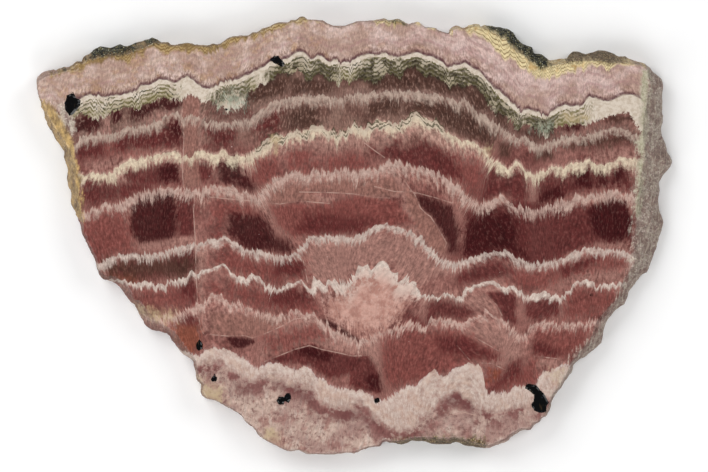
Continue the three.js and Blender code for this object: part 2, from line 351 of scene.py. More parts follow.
def leaned(points):
    """Where each point's growth band or patch lies at the polished face, in mm."""
    depth = THICKNESS - points[:, 2]
    return points[:, 0] + depth * BAND_LEAN[0], points[:, 1] + depth * BAND_LEAN[1]


def band_fields(points):
    """How far each point (mm) lies above every line, and where its growth fibre started."""
    x, y = leaned(points)
    fields = {}
    for name, run, lean in zip(LINES, RUNS, LEANS):
        upright = y - np.interp(x, ACROSS, run)
        fields[name] = upright / np.sqrt(1 + np.interp(x, ACROSS, lean) ** 2)
    column = np.clip((x - ACROSS[0]) / ACROSS_STEP, 0, len(ACROSS) - 1.001)
    row = np.clip((y - UPWARD[0]) / UPWARD_STEP, 0, len(UPWARD) - 1.001)
    i, j = row.astype(int), column.astype(int)
    a, b = row - i, column - j
    fields["fibre"] = (
        (1 - a) * (1 - b) * FIBRES[i, j]
        + (1 - a) * b * FIBRES[i, j + 1]
        + a * (1 - b) * FIBRES[i + 1, j]
        + a * b * FIBRES[i + 1, j + 1]
    )
    return fields


# ---- Flaws, stains and inclusions ---------------------------------------------------------------
# Windows of clear dark crystal, cloudy patches between old fractures, iron stains and grains of
# black ore, all grown into the stone. Each patch is a closed outline in mm with the width of its
# soft border; each seam is a healed fracture that shows as a thin pale line.

PATCHES = {
    "pale": [
        (1.5, [(14, -15.6), (14, -12.4), (27, -12.4), (27, -15.6)]),
        (1.0, [(-42.5, 23), (-42, 25), (-39.5, 25.5), (-36, 25), (-36.5, 24), (-40, 22.8)]),
        (0.6, [(-50.4, 24), (-49.4, 25), (-48.8, 22.8), (-49, 20.5), (-50.6, 20.5)]),
        (0.3, [(-34, 27.5), (-33, 28.8), (-30.7, 27.5), (-30.4, 23), (-31.2, 14), (-30.6, 10),
         (-34.1, 9.6), (-34.3, 12), (-34, 20), (-34.7, 22.5)]),
        (0.5, [(-31.7, -2), (-29.5, -1.8), (-30, -7), (-30, -15), (-29.7, -19.5), (-30.8, -18.5),
         (-31.3, -15), (-31.7, -7.5)]),
        (0.25, [(-21, 9.5), (-17, 6.4), (-15, 6.3), (-11, 6.9), (-5, 6.4), (-4, 7.4), (-11, 8.7),
         (-5, 8.6), (0, 8.3), (4, 7.6), (9, 7.5), (10.7, 9), (8.5, 13.5), (-6, 12.5), (-14, 11.5)]),
        (0.8, [(8, 9.5), (11, 9), (12, 8), (13.1, 5.5), (14.3, 4.4), (15.2, 3.8), (17, 1),
         (18.3, -1.5), (18, -4.5), (15, -3), (11.5, 1), (9, 4.5), (10, 6.5)]),
        (0.7, [(-30, 7.5), (-24, 7.2), (-20.5, 6.5), (-18, 4.5), (-15.3, 1), (-13, -1), (-11.5, 0),
         (-14, 3), (-16.5, 7), (-19, 9)]),
        (0.8, [(-52, 13), (-47.5, 14), (-46.5, 15.8), (-50, 15.2), (-53.5, 14.4)]),
        (0.6, [(-44, -1.4), (-36, -0.5), (-32, -0.2), (-32, -1.2), (-37, -2.4), (-43, -3.4)]),
        (0.6, [(46, -1.8), (50, -0.9), (54, -0.8), (55, -2.6), (47, -2.2)]),
        (0.7, [(35, 12), (36, 12), (36.3, 5.5), (36.4, 0), (36.2, -4.6), (35.2, -5), (35, 4)]),
        (0.8, [(-10.2, -3.5), (-7, -0.5), (5, 0.5), (12, -0.5), (16, -5), (19, -7), (13, -10),
         (9, -8.2), (7, -5), (3, -6), (0, -7), (-2, -9.5), (-9.8, -9.5)]),
        (0.8, [(21.5, -11.5), (26.2, -12), (28.3, -14), (29, -16), (26, -15), (23, -14)]),
        (0.8, [(-29.5, -15), (-20, -15.5), (-13, -16.5), (-12, -17), (-18, -19.6), (-25, -20),
         (-29.5, -19.6)]),
        (0.7, [(-18, -19.7), (-12, -16.8), (-6, -17), (-4, -19.5), (0, -21), (5, -20), (5.5, -26),
         (6, -30), (3.5, -26), (0, -24), (-6.5, -22.7), (-9, -21.8), (-15, -23.8), (-19, -25)]),
        (0.7, [(22, -19), (25, -16.5), (30, -17.5), (33, -20), (33.5, -24), (30, -26.8),
         (25, -25.3), (28.8, -23.2)]),
        (0.5, [(20.5, -22), (22.2, -25.8), (25, -26.2), (23.4, -23.8)]),
        (0.5, [(36, -24.2), (41, -24.8), (42.5, -26), (37, -26.5), (36, -28)]),
        (1.0, [(40, -7.5), (44, -6.8), (49, -7), (54.5, -6.5), (54.5, -9), (44, -8.8),
         (41, -10.5)]),
        (1.2, [(48, 17.2), (57.2, 17.5), (57, 15.6), (48, 15)]),
        (1.0, [(-6, 20), (12, 21), (9, 17.5), (5, 15.5), (1, 18), (-6, 16.5), (-14, 18),
         (-14, 19.5)]),
    ],
    "brick": [
        (2, [(-56, -4), (-56, 4), (-44, 4), (-44, -4)]),
        (1.2, [(-53, 16), (-52, 19), (-40, 20.6), (-40, 18)]),
        (1.0, [(-55.5, 3.4), (-50, 5), (-45.2, 5), (-44.6, 0), (-44, -3), (-49, -4), (-52, -6)]),
        (0.8, [(-51, -5.3), (-44, -4.4), (-37.5, -4.4), (-37.5, -8.6), (-44, -9.2), (-49, -8.8)]),
        (0.9, [(-28.3, 7.2), (-20.5, 5.6), (-19.5, 4), (-26, 3.8), (-26.5, 0), (-28.2, 0)]),
        (0.8, [(-20, 15), (-17, 16.6), (-15.6, 13), (-18.6, 9.6), (-20.5, 11)]),
        (1.0, [(-13, 17), (-8.8, 17.4), (-8.6, 13.4), (-13, 13)]),
        (1.0, [(-6.5, 15.5), (0, 16), (3, 13.7), (-5, 13)]),
        (0.5, [(-17, 6), (-5, 6.2), (0, 8), (8, 7.4), (9.5, 5), (13, 2), (8, 2.4), (2, 1),
         (-9, 0.4), (-12.5, -0.5), (-15.5, 2)]),
        (1.0, [(17, 16), (25, 14.4), (25.5, 10.5), (24, 8), (21.5, 10.5), (18, 12)]),
        (0.7, [(32, 6), (34.6, 5), (34.8, -4), (33.4, -1), (33, 3)]),
        (1.2, [(-26, -2), (-22.5, -4), (-16, -4.8), (-10.3, -4.6), (-9.6, -8.8), (-17, -8.8),
         (-24, -7.5), (-28, -5.6)]),
        (1.0, [(34, -6.4), (40.5, -6), (47, -3.8), (55, -4.2), (54, -6.4), (47, -6.4), (42, -8.8),
         (36, -10.8), (31.5, -9)]),
        (1.2, [(-44, -10.6), (-34.5, -9.6), (-32, -8.6), (-31.8, -13), (-36, -14.5), (-43, -14.5)]),
        (1.0, [(-29.5, -10), (-22, -10), (-16, -11.8), (-9.5, -11), (-7, -15), (-19, -14.4),
         (-23, -12.6), (-29, -11.5)]),
        (1.0, [(43, -11.3), (47.5, -10), (52.5, -11), (52, -14), (46, -16.4), (42, -16.4)]),
        (0.8, [(5.5, -20.4), (11, -18.4), (20, -18.4), (23, -20), (29, -23.4), (29, -25), (22, -26),
         (17.5, -28), (12, -29.4), (6.5, -29.8), (5.8, -25)]),
        (0.7, [(35.5, -19), (42, -18.4), (47.5, -18), (46, -22), (42, -24.2), (36, -23.8)]),
        (0.8, [(26, -26.2), (29.6, -26.8), (29, -29), (33, -27), (36.4, -24.5), (36.4, -29.6),
         (33, -30), (26.4, -31.8)]),
        (1.0, [(-18.5, -20), (-14, -19), (-8, -17.8), (-4.5, -20.5), (-9, -21.4), (-17, -24)]),
    ],
    "dusk": [
        (0.6, [(22, -5), (22, 5), (32, 7), (55, 5.6), (55.6, -0.6), (46, -2.2), (36, -6.4),
         (28, -4.6)]),
        (0.7, [(-55.6, 18.3), (-52, 19.4), (-50, 18.8), (-50.4, 15.6), (-55.6, 15.6)]),
        (0.5, [(-48.2, 19.4), (-44, 20.6), (-40, 21.2), (-36.2, 23.4), (-34.9, 22.6), (-34.3, 19),
         (-34.8, 17.8), (-39, 18), (-45, 17.2), (-47.7, 17)]),
        (0.9, [(-30, 22), (-24, 21.6), (-23.5, 18.2), (-29, 17.6)]),
        (0.9, [(-28.6, 25), (-24, 25.2), (-20.5, 24.6), (-22, 23.6), (-27.5, 23.8)]),
        (1.0, [(-20.6, 22), (-17, 24.5), (-15, 25), (-15.5, 21), (-18, 19.6)]),
        (0.9, [(-54.4, 11.4), (-50, 11), (-41, 9.9), (-46, 7.8), (-52, 6.2), (-54.4, 7)]),
        (0.7, [(-46, 13), (-40, 14.2), (-35.2, 15), (-35, 10.4), (-40, 10.2), (-46, 10.4)]),
        (0.7, [(-33.2, 14), (-29, 15), (-28, 10.8), (-31, 11)]),
        (0.6, [(2, 18.3), (5, 16.8), (7.4, 19), (9, 19), (9.6, 17), (14, 19.2), (17, 17),
         (20, 15.4), (21.5, 11.4), (16, 12.4), (12, 14.2), (8, 15), (4, 15.8)]),
        (0.7, [(26.5, 13.6), (29, 14), (31, 12.6), (34.8, 13), (34.6, 7.2), (32.5, 7.4), (29, 8.6),
         (25.4, 7), (26, 10)]),
        (0.7, [(36.2, 11), (39, 12.4), (43, 12.6), (47, 14), (51, 12.8), (55.5, 14), (55.4, 9.2),
         (52, 9.8), (44, 8.4), (36.4, 6)]),
        (0.8, [(-9.5, 4.5), (-2, 3.8), (3, 3.4), (4.6, 2.6), (2, 1), (0, 0.4), (-9, 0.4),
         (-11.5, 1)]),
        (0.3, [(-35.6, 8), (-32, 8), (-32.3, 5), (-31.9, 0), (-35.2, 0)]),
        (0.6, [(36.2, 3), (37.5, 4.7), (45.6, 5.8), (45.6, 3), (47, 0), (48.3, -1.2), (46, -1.8),
         (38, -4.5), (36.6, -3), (36.6, 0)]),
        (0.6, [(-37, -4), (-33, -2.6), (-31.9, -2.4), (-31.9, -6.6), (-37, -8)]),
        (0.6, [(-16, -5), (-10.4, -4.8), (-9.8, -8), (-16, -8)]),
        (0.7, [(20.4, -8), (24, -6), (29, -5.2), (31.5, -7), (29, -8.6), (24, -9.4), (21, -9.2)]),
        (0.6, [(8.8, -16.4), (11, -14.4), (12.2, -16), (14, -17.6), (15, -13.6), (17, -12.6),
         (22, -14), (24, -15.4), (22, -16.8), (17, -16), (14.4, -18), (11, -16.8)]),
        (0.3, [(26.6, -11.6), (30.2, -11), (32.6, -12.4), (32, -15), (32.4, -17.6), (30, -17.2),
         (28.6, -14)]),
        (0.6, [(34, -13.6), (38, -12), (41, -13), (41, -15.6), (37, -17), (34.6, -16.2)]),
        (0.6, [(41, -6.8), (45, -4.6), (49, -4.2), (47, -6), (42, -8.4)]),
        (0.7, [(-17, -11.6), (-14.4, -10.6), (-9.6, -10.6), (-8, -13), (-13, -14), (-17, -13.6)]),
        (0.7, [(-35, -10), (-32.8, -8), (-31.9, -9), (-31.7, -13), (-35, -12)]),
        (0.6, [(-36, -16.8), (-34, -15.9), (-31.6, -16), (-31.2, -18), (-34.6, -17.8)]),
        (0.35, [(-18, -25.2), (-12, -22.8), (-9, -22), (-3, -23.5), (-0.6, -24.1), (0, -24),
         (3, -24), (4.2, -26), (5, -30), (5.6, -32), (2.5, -31), (-0.8, -30), (-1, -27.5),
         (-3, -28.4), (-6, -28), (-9, -26), (-12, -25.4)]),
        (0.6, [(16.5, -20.4), (22, -20.4), (29, -24.6), (23, -24.6), (17, -23)]),
        (0.5, [(35.6, -21.2), (38, -21.4), (41.6, -23.6), (40, -24.2), (36, -23.8)]),
        (0.7, [(-24, -29.6), (-20.5, -30.4), (-21.5, -33), (-24.4, -31.4)]),
        (0.7, [(-16.4, -29.2), (-10.6, -30.4), (-9, -32), (-8, -35.4), (-9.5, -34), (-11.5, -31.4),
         (-16, -31)]),
        (0.7, [(-3.4, -36.6), (-1, -35.4), (3, -36), (4.6, -38), (1.5, -37), (-2.5, -37.4)]),
        (0.8, [(18.6, -32.6), (21, -31.8), (23.4, -33.4), (24.6, -36), (21, -34.6), (17.6, -35)]),
        (0.6, [(31, -25.4), (33.4, -24.8), (33.2, -28), (31.4, -28.6), (27, -31.4), (29.4, -28)]),
    ],
    "earth": [
        (1.2, [(-50, -8.4), (-50, -5.4), (-44, -4.4), (-32, -4.6), (-32, -8.6)]),
        (0.6, [(-22, 29.2), (-19.5, 30.4), (-17.5, 31), (-15, 32.6), (-13.4, 31), (-13.5, 28.6),
         (-17, 27.2), (-20.6, 26.6), (-22, 25)]),
        (0.8, [(-13.5, 32), (-4, 31), (-4.6, 28.6), (-12, 28.2)]),
        (0.6, [(2.6, 31.4), (9, 33), (12, 33.6), (16, 32), (21, 30.4), (25, 29), (28, 26),
         (26.4, 24.6), (24, 25), (22, 27.8), (15, 29), (8, 29.4), (3, 29.2)]),
        (0.7, [(-13, 24.8), (-10, 25.8), (-7.4, 25.6), (-7.2, 21.8), (-13.4, 21.2)]),
        (0.7, [(2, 23.4), (3.4, 26.4), (6, 27.8), (9.4, 27.6), (9, 24), (5.6, 24.6)]),
        (0.8, [(9.4, 24.6), (12.4, 27.8), (18, 26.8), (21, 25.8), (25, 24), (29, 20.4),
         (27.4, 17.6), (24.6, 18.8), (19, 21), (16, 23.8), (12.4, 25)]),
        (0.6, [(28.8, 18.6), (31.2, 18.4), (31, 15.6), (29, 15.8)]),
        (0.7, [(36.4, 17.2), (39.2, 17.2), (40, 15.4), (36, 15)]),
        (0.6, [(27, 25.6), (29.4, 24.4), (31, 22.4), (30.8, 20.8), (28.4, 22.4)]),
        (0.8, [(32, 21), (36, 21.4), (40, 21), (39.6, 19.4), (36.5, 18.6), (33.5, 20)]),
        (0.9, [(42, 17.6), (46, 19.2), (55, 20.4), (56.4, 18.6), (46, 17.4)]),
        (0.6, [(50.4, 24.2), (55.6, 24), (55.6, 22.6), (50.8, 22.6)]),
    ],
    "deep": [
        (0.45, [(-55.6, 23.4), (-53, 24.2), (-51, 24), (-50.4, 22), (-53, 20.9), (-55.6, 20.6)]),
        (0.4, [(-48.8, 25.6), (-46.4, 25), (-46.4, 22.8), (-48.4, 22.4)]),
        (0.45, [(-45.2, 25.4), (-42, 26.4), (-38.5, 27.6), (-35.4, 28.2), (-34.2, 26.6),
         (-35.6, 25.2), (-39.5, 25.2), (-42.4, 23.2), (-45, 22.8)]),
        (0.4, [(40.6, 21.2), (43, 22.6), (46.4, 23.8), (46, 21.6), (43, 20.8)]),
        (0.3, [(48.4, 23), (49.2, 24), (49, 22.6)]),
        (0.7, [(-37, 21.6), (-35.2, 22.8), (-34.9, 20.2), (-36.5, 19.8)]),
        (0.6, [(-39.4, 13.4), (-36.4, 14.4), (-35.3, 13.6), (-35.2, 11), (-39, 11)]),
        (0.6, [(-27.4, 14), (-24, 15.8), (-22.4, 13), (-19.4, 9.2), (-21, 8.6), (-23.6, 10),
         (-27.4, 10.6)]),
        (0.7, [(44.4, 13), (47.4, 13.2), (47.4, 9.8), (44.2, 9.8)]),
        (0.7, [(48.8, 13), (50, 13.8), (50.4, 10.4), (49, 9.8)]),
        (0.7, [(51.8, 13), (53.6, 14), (54, 10.8), (51.8, 10.2)]),
        (0.6, [(37.6, 9), (41, 9.6), (41.6, 8), (36.8, 6.4)]),
        (0.4, [(-44.9, 5.4), (-42.6, 8), (-36, 9), (-35.6, 4), (-35.8, 0), (-37, -0.6), (-40, -1.1),
         (-43, -1.8), (-44.4, 0), (-44.8, 3)]),
        (0.6, [(-25.6, 4.4), (-20, 4), (-18.4, 3.8), (-15.6, -0.2), (-13.4, -1), (-12, -2.6),
         (-13, -3.6), (-18, -3), (-22, -2.6), (-23.4, -0.8), (-25.4, 0.6)]),
        (0.5, [(11.8, 8.6), (16, 7.4), (19.5, 5.6), (21, 1), (20.6, -3.4), (18.7, -3.6),
         (18.4, -1.5), (17, 1), (15.2, 3.8), (14.3, 4.4), (13.2, 5.5)]),
        (0.8, [(23, 3.2), (27, 4.6), (31.6, 4), (32.8, 1), (32.4, -1.6), (34.6, -4.4), (31, -3),
         (24, -3.6), (21.8, -4), (21.8, -1)]),
        (0.5, [(46.8, 5), (49, 6.8), (52, 7.6), (54, 6.8), (55.8, 3), (55.2, 0.2), (53.5, -1.2),
         (49.5, -0.8), (47.8, 0.5), (47, 3)]),
        (0.3, [(-25.8, -20.1), (-21, -20.4), (-19.8, -21.3), (-21, -22), (-23, -22.8),
         (-25, -21.8)]),
        (0.25, [(-7, -16.2), (-3.5, -17.6), (-1, -19.2), (2, -21.5), (0.6, -21.2), (-2.4, -19.8),
         (-5.2, -18.4)]),
        (0.5, [(-12, -23), (-9, -22.2), (-6.4, -23), (-4, -23.8), (-5, -25.2), (-9, -24.6)]),
        (0.6, [(2, -28), (4.8, -28), (5.6, -31), (3, -30.8)]),
        (0.2, [(17.3, -28.6), (17.6, -27.6), (18.8, -27), (18, -27.6)]),
    ],
    # cloudy stone that ends sharply at a fracture
    "cloud": [
        (0.2, [(-34, 27.5), (-33, 28.8), (-31, 27.5), (-31.2, 14), (-30.8, 10), (-34.1, 9.6),
         (-34.3, 12), (-34, 20), (-34.7, 22.5)]),
        (0.25, [(10.6, 10), (12, 8.3), (13.2, 5.5), (14.3, 4.4), (15.2, 3.8), (17, 1), (18.4, -1.5),
         (18, -4), (14.6, -1.6), (12.6, 1.6), (10.4, 6)]),
        (0.3, [(-16, 9.4), (-17, 6.5), (-15, 6.3), (-11, 6.9), (-7, 6.6), (-9, 8.7), (-5, 8.6),
         (0, 8.3), (4, 7.6), (7, 7.6), (9.6, 9), (8, 11.5), (-4, 11)]),
        (0.3, [(-29, -15.2), (-22, -16), (-13, -16.8), (-18, -19.6), (-20.5, -20.4), (-25, -19.9),
         (-29, -19.7)]),
    ],
    "rust": [
        (0.6, [(-36.4, -17.4), (-31.4, -17.4), (-31, -19), (-30.4, -22), (-33, -24), (-36, -21)]),
        (0.8, [(-30.8, -26.4), (-28, -26.2), (-28.2, -28), (-31, -28.4)]),
        (0.8, [(-50, -6.8), (-44, -7.6), (-44, -9.4), (-49, -9)]),
        (0.7, [(27.4, -26.8), (29.2, -27), (28.4, -29), (27, -28.8)]),
    ],
    "straw": [
        (0.8, [(-31, -28.8), (-26.8, -30), (-26, -33.8), (-31, -33)]),
        (0.6, [(-18, -38.5), (-15, -39), (-14.5, -42), (-17.5, -41.5)]),
        (0.9, [(-43.5, -14.6), (-40, -14.8), (-35.4, -15.4), (-36, -16.6), (-42, -17)]),
        (0.6, [(38.6, -27.4), (41.6, -27.2), (40.4, -29.4)]),
        (0.4, [(-16.6, 20), (-15.2, 19.6), (-15.6, 16.4), (-16.6, 17.2)]),
        (0.6, [(42, 24), (46.8, 24.6), (46.6, 23.4), (42.6, 22.8)]),
        (0.6, [(25.6, 17.6), (27.2, 17.4), (27, 15.6), (25.8, 16)]),
    ],
    "blob": [
        (1.2, [(-5.4, -13.5), (-2, -10.5), (0, -7.4), (7, -5.4), (12, -9), (13, -11.4), (9, -14.6),
         (8.4, -17), (6, -18.7), (3, -19.5), (-0.5, -19), (-4.4, -16.8)]),
    ],
    "lace": [
        (0.8, [(-56.5, 23), (-56, 27.6), (-38, 31.2), (-35.4, 30), (-35.4, 27), (-44, 24.6)]),
        (0.7, [(-28.6, 27), (-27, 31.4), (-20, 34), (-20, 28.6), (-27, 26.4)]),
        (0.7, [(-17.5, 30), (-17.5, 36.4), (-4.6, 37), (2.5, 38), (20, 36), (30, 30), (33.4, 24.4),
         (33.4, 20), (26, 26), (2.5, 30)]),
        (0.8, [(33.2, 20), (33.4, 25), (41, 26), (47, 26), (46, 21.4)]),
    ],
    "knots": [
        (0.8, [(-28.6, 25.6), (-28, 29), (-21.6, 31), (-21.6, 27.4), (-26, 26)]),
        (0.6, [(-17.5, 29), (-17.5, 36.4), (-4.6, 37), (-3, 32), (-3.6, 29.6)]),
        (0.6, [(-0.6, 29.6), (0.4, 33), (2.5, 38), (20, 36), (30, 30), (33.6, 24.4), (33.6, 19.6),
         (26, 25)]),
        (0.7, [(33.4, 20), (33.6, 24), (40.4, 24.6), (40, 20)]),
    ],
    "teal": [
        (1.4, [(-26.5, 26), (-24.4, 28.4), (-22.4, 27), (-23.6, 25.4)]),
        (1.0, [(36.2, 21.6), (39, 22), (38.4, 20.8)]),
    ],
    "ore": [
        (0.5, [(-58, 26), (-57.6, 27.9), (-56.3, 28.7), (-55.8, 27.6), (-54.8, 27.1), (-54.9, 26),
         (-56.3, 24.2), (-57, 24), (-57.7, 24.8)]),
        (0.5, [(-16.9, 35.1), (-16, 36), (-15.2, 35.9), (-13.8, 34.2), (-14.6, 33.7),
         (-16.2, 34.6)]),
        (0.5, [(34.4, -29.5), (34.2, -30.5), (36, -31.9), (35.8, -33.3), (35.2, -34), (36, -35),
         (37, -35.4), (38.3, -35.4), (38.5, -33.9), (38.9, -33.4), (38, -31.8), (36.3, -29.9)]),
        (0.5, [(-31.6, -21.6), (-31, -20.8), (-30.4, -21.7), (-30.4, -22.7), (-31.2, -23),
         (-31.7, -22.6)]),
        (0.5, [(-28.7, -28.6), (-28, -27.7), (-27.5, -28.4), (-27.7, -29.2), (-28.5, -29.2)]),
        (0.5, [(-15.6, -33), (-15.1, -33.9), (-14.2, -33.8), (-13.9, -33.2), (-13.2, -33.4),
         (-12.6, -32.6), (-12.9, -31.6), (-13.6, -31.5), (-14.1, -32.3), (-15.1, -32.2)]),
        (0.5, [(3.8, -32.9), (4.2, -32.3), (4.9, -32.5), (5, -33.2), (4.3, -33.6)]),
        (0.5, [(47, -11.9), (47.5, -11.6), (47.8, -11.9), (47.4, -12.2)]),
        (0.5, [(-26, 25.2), (-25.7, 25.5), (-25.4, 25.2), (-25.7, 24.9)]),
    ],
    # wall rock and weathered skin that the broken rim kept
    "crust": [
        (0.35, [(-54.8, 35.2), (-52, 35.4), (-50, 36), (-46, 36.2), (-43, 37.5), (-39.2, 38.3),
         (-38, 42), (-56, 42)]),
        (0.35, [(25.8, 42.1), (28, 40.6), (30, 39.5), (32, 37.5), (34, 36), (37, 33.3),
         (37.6, 33.2), (39.4, 34), (41.4, 35.2), (41.4, 38), (37, 44), (26, 46)]),
        (0.4, [(-59, 33.2), (-57.6, 33), (-57, 36), (-59.4, 36)]),
        (0.4, [(6.6, 42.8), (10.4, 42.4), (10, 46), (6, 46)]),
    ],
    "olive": [
        (0.6, [(6, -47), (8, -41), (16, -40.4), (26, -40.6), (28, -47)]),
        (0.35, [(42.6, 34.6), (46, 34.9), (49, 34.9), (50.3, 34.4), (53, 34.7), (56, 34.7),
         (58.4, 34), (60, 39), (42, 40)]),
    ],
    "gold": [
        (0.35, [(-66, 29), (-60.5, 26), (-58, 22.5), (-56.4, 19), (-56, 16), (-55, 12.5),
         (-54.6, 8), (-54.3, 3), (-58, 1), (-66, 10)]),
    ],
    "chalk": [
        (0.4, [(-59.6, 27), (-57.2, 25.4), (-56.2, 22.6), (-56.4, 20), (-58, 22.6)]),
        (0.7, [(58.6, 35), (57.4, 28), (57.2, 20), (56.6, 12), (56, 6), (56, 0), (55.2, -6),
         (54.4, -10), (52, -14), (49, -19), (47, -21.5), (44, -24), (43, -27), (40, -31.5),
         (38.8, -36), (70, -40), (70, 35)]),
    ],
    "vein": [
        (0.5, [(57.4, 33), (58.8, 33), (58.6, 24), (58, 16), (57.6, 8), (57, 4), (56.2, 4),
         (56.6, 10), (57, 18), (57.4, 26)]),
    ],
}

SEAMS = [
    # the old fracture that steps down through the left
    [(-34.2, 27), (-34.8, 22.5), (-34.1, 20), (-34.4, 12), (-34.2, 9.6)],
    [(-31.9, 8), (-32.2, 5), (-31.8, -1.5), (-31.7, -7.5), (-31.3, -15), (-30.8, -18.5),
     (-30.2, -19.6)],
    # flat partings in the cluster in the middle
    [(-29, 7.7), (-24, 7.2), (-21, 7)],
    [(-17, 6.5), (-15, 6.3), (-11, 6.9), (-5, 6.4)],
    [(-11, 8.7), (-5, 8.6), (0, 8.3), (4, 7.6), (7, 7.5)],
    [(4, 9.8), (8, 8.8), (11, 8.7)],
    # the slanting break on its right
    [(8, 13.5), (10, 11), (11, 9.5), (12, 8.3), (13.2, 5.5), (14.3, 4.4), (15.2, 3.8), (17, 1),
     (18.4, -1.5), (18, -2.5)],
    [(12.2, 8.6), (16, 7.6), (19.5, 6.5)],
    [(2, 18.5), (4, 17), (6, 15.6)],
    [(-10.3, -5), (-9.9, -6.5), (-9.4, -9.3)],
    [(26.5, -12), (28.5, -14), (29.5, -16)],
    # partings above the thick white band
    [(-29, -19.8), (-25.5, -20.1), (-22, -20), (-20.5, -20.5), (-18, -19.7), (-14.5, -18.1),
     (-12, -16.7), (-10, -16.5)],
    [(-18, -25.2), (-15, -24), (-12, -22.8), (-9, -22), (-6.5, -22.8), (-3, -23.5), (-0.5, -24.1),
     (3, -24), (4.2, -25.6)],
    [(24, -20.3), (29, -23.2)],
    [(20.5, -22), (24, -26)],
    [(25.5, -25.5), (27.5, -25.6), (30, -26.8)],
    [(36, -24.1), (41, -24.7)],
    [(19, -36), (22, -35.4), (24.4, -36)],
    [(26.6, -36.4), (29, -35.5), (33, -35)],
]


def stretch_distance(x, y, start, end):
    """Distance in mm from each point to the straight stretch from start to end."""
    (ax, ay), (bx, by) = start, end
    length = (bx - ax) ** 2 + (by - ay) ** 2
    share = np.clip(((x - ax) * (bx - ax) + (y - ay) * (by - ay)) / length, 0, 1)
    return np.hypot(x - ax - share * (bx - ax), y - ay - share * (by - ay))


def outline_distance(x, y, outline):
    """Distance in mm to a closed outline, negative inside it."""
    best = np.full(len(x), 1e9)
    inside = np.zeros(len(x), bool)
    for start, end in zip(outline, outline[1:] + outline[:1]):
        best = np.minimum(best, stretch_distance(x, y, start, end))
        rise = end[1] - start[1] + 1e-12
        crosses = (start[1] > y) != (end[1] > y)
        inside ^= crosses & (x < (end[0] - start[0]) * (y - start[1]) / rise + start[0])
    return np.where(inside, -best, best)


def patch_fields(points):
    """For each kind of patch a value that is 0 or less outside, 1 or more inside; and the seams."""
    x, y = leaned(points)
    fields = {}
    for kind, patches in PATCHES.items():
        reaches = [0.5 - outline_distance(x, y, outline) / (2 * soft) for soft, outline in patches]
        fields[kind] = np.clip(np.max(reaches, axis=0), -4, 5)
    stretches = [pair for seam in SEAMS for pair in zip(seam, seam[1:])]
    fields["seam"] = np.min([stretch_distance(x, y, *pair) for pair in stretches], axis=0)
    return fields


# ---- The stone's mesh ---------------------------------------------------------------------------
# The whole slice is one closed skin: the polished face and the sawn back, triangulated from evenly
# spaced points inside their outlines, and the broken edge that joins them. The face's triangles
# follow the seams and the ore grains, and the grains lie a little lower, as soft ore polishes away.

FACE_STEP = 0.42  # mm between vertices on the polished face
BACK_STEP = 0.85  # mm between vertices on the back
ORE_DEPTH = 0.22  # mm that the ore lies below the polished face
ORE_SLOPE = 0.35  # share of an ore grain's soft border over which the surface sinks to the ore
ROW_PITCH = 0.866  # steps between the rows of evenly spaced points
CLEARANCE = 0.55  # steps that they keep from the points of the outline and of the lines
LACE_TOP = -0.9  # mm from the purple line; above it the outer bands' materials begin
FINISHES = {
    # how dusty and how rough, how deep its relief is in mm, and how many lumps there are to a mm
    "polished_face": (0.0, 0.18, 0.008, 1.4),
    "broken_edge": (0.3, 0.78, 0.45, 1.5),
    "sawn_back": (0.22, 0.62, 0.03, 3.0),
}
FACE, EDGE, BACK = range(len(FINISHES))


def traced(line, step):
    """Points along a line of straight stretches, no more than that step apart."""
    points = [line[0]]
    for (ax, ay), (bx, by) in zip(line, line[1:]):
        steps = math.ceil(math.hypot(bx - ax, by - ay) / step)
        for k in range(1, steps + 1):
            points.append((ax + (bx - ax) * k / steps, ay + (by - ay) * k / steps))
    return points


def points_inside(outline, step, avoid):
    """Evenly spaced points inside an outline, clear of it and of the points to avoid."""
    starts, ends = outline, np.roll(outline, -1, axis=0)
    tree = KDTree(len(outline) + len(avoid))
    for i, (x, y) in enumerate([*outline.tolist(), *avoid]):
        tree.insert((x, y, 0), i)
    tree.balance()
    found = []
    heights = np.arange(outline[:, 1].min(), outline[:, 1].max(), step * ROW_PITCH)
    for row, y in enumerate(heights):
        hit = (starts[:, 1] > y) != (ends[:, 1] > y)
        share = (y - starts[hit, 1]) / (ends[hit, 1] - starts[hit, 1])
        walls = np.sort(starts[hit, 0] + share * (ends[hit, 0] - starts[hit, 0]))
        for left, right in zip(walls[::2], walls[1::2]):
            first = math.ceil(left / step) * step + (row % 2) * step / 2
            for x in np.arange(first, right, step):
                if tree.find((x, y, 0))[2] > step * CLEARANCE:
                    found.append((x, y))
    return found


def flat_cap(outline, step, lines):
    """Points and triangles that fill an outline along the lines, the outline's points first."""
    count = len(outline)
    points, edges = outline.tolist(), []
    for line in lines:
        first = len(points)
        points += traced(line, step)
        edges += [(k, k + 1) for k in range(first, len(points) - 1)]
    points += points_inside(outline, step, points[count:])
    made = delaunay_2d_cdt([Vector(p) for p in points], edges, [list(range(count))], 1, 1e-6)
    return np.array([tuple(p) for p in made[0]]), made[2], made[3]


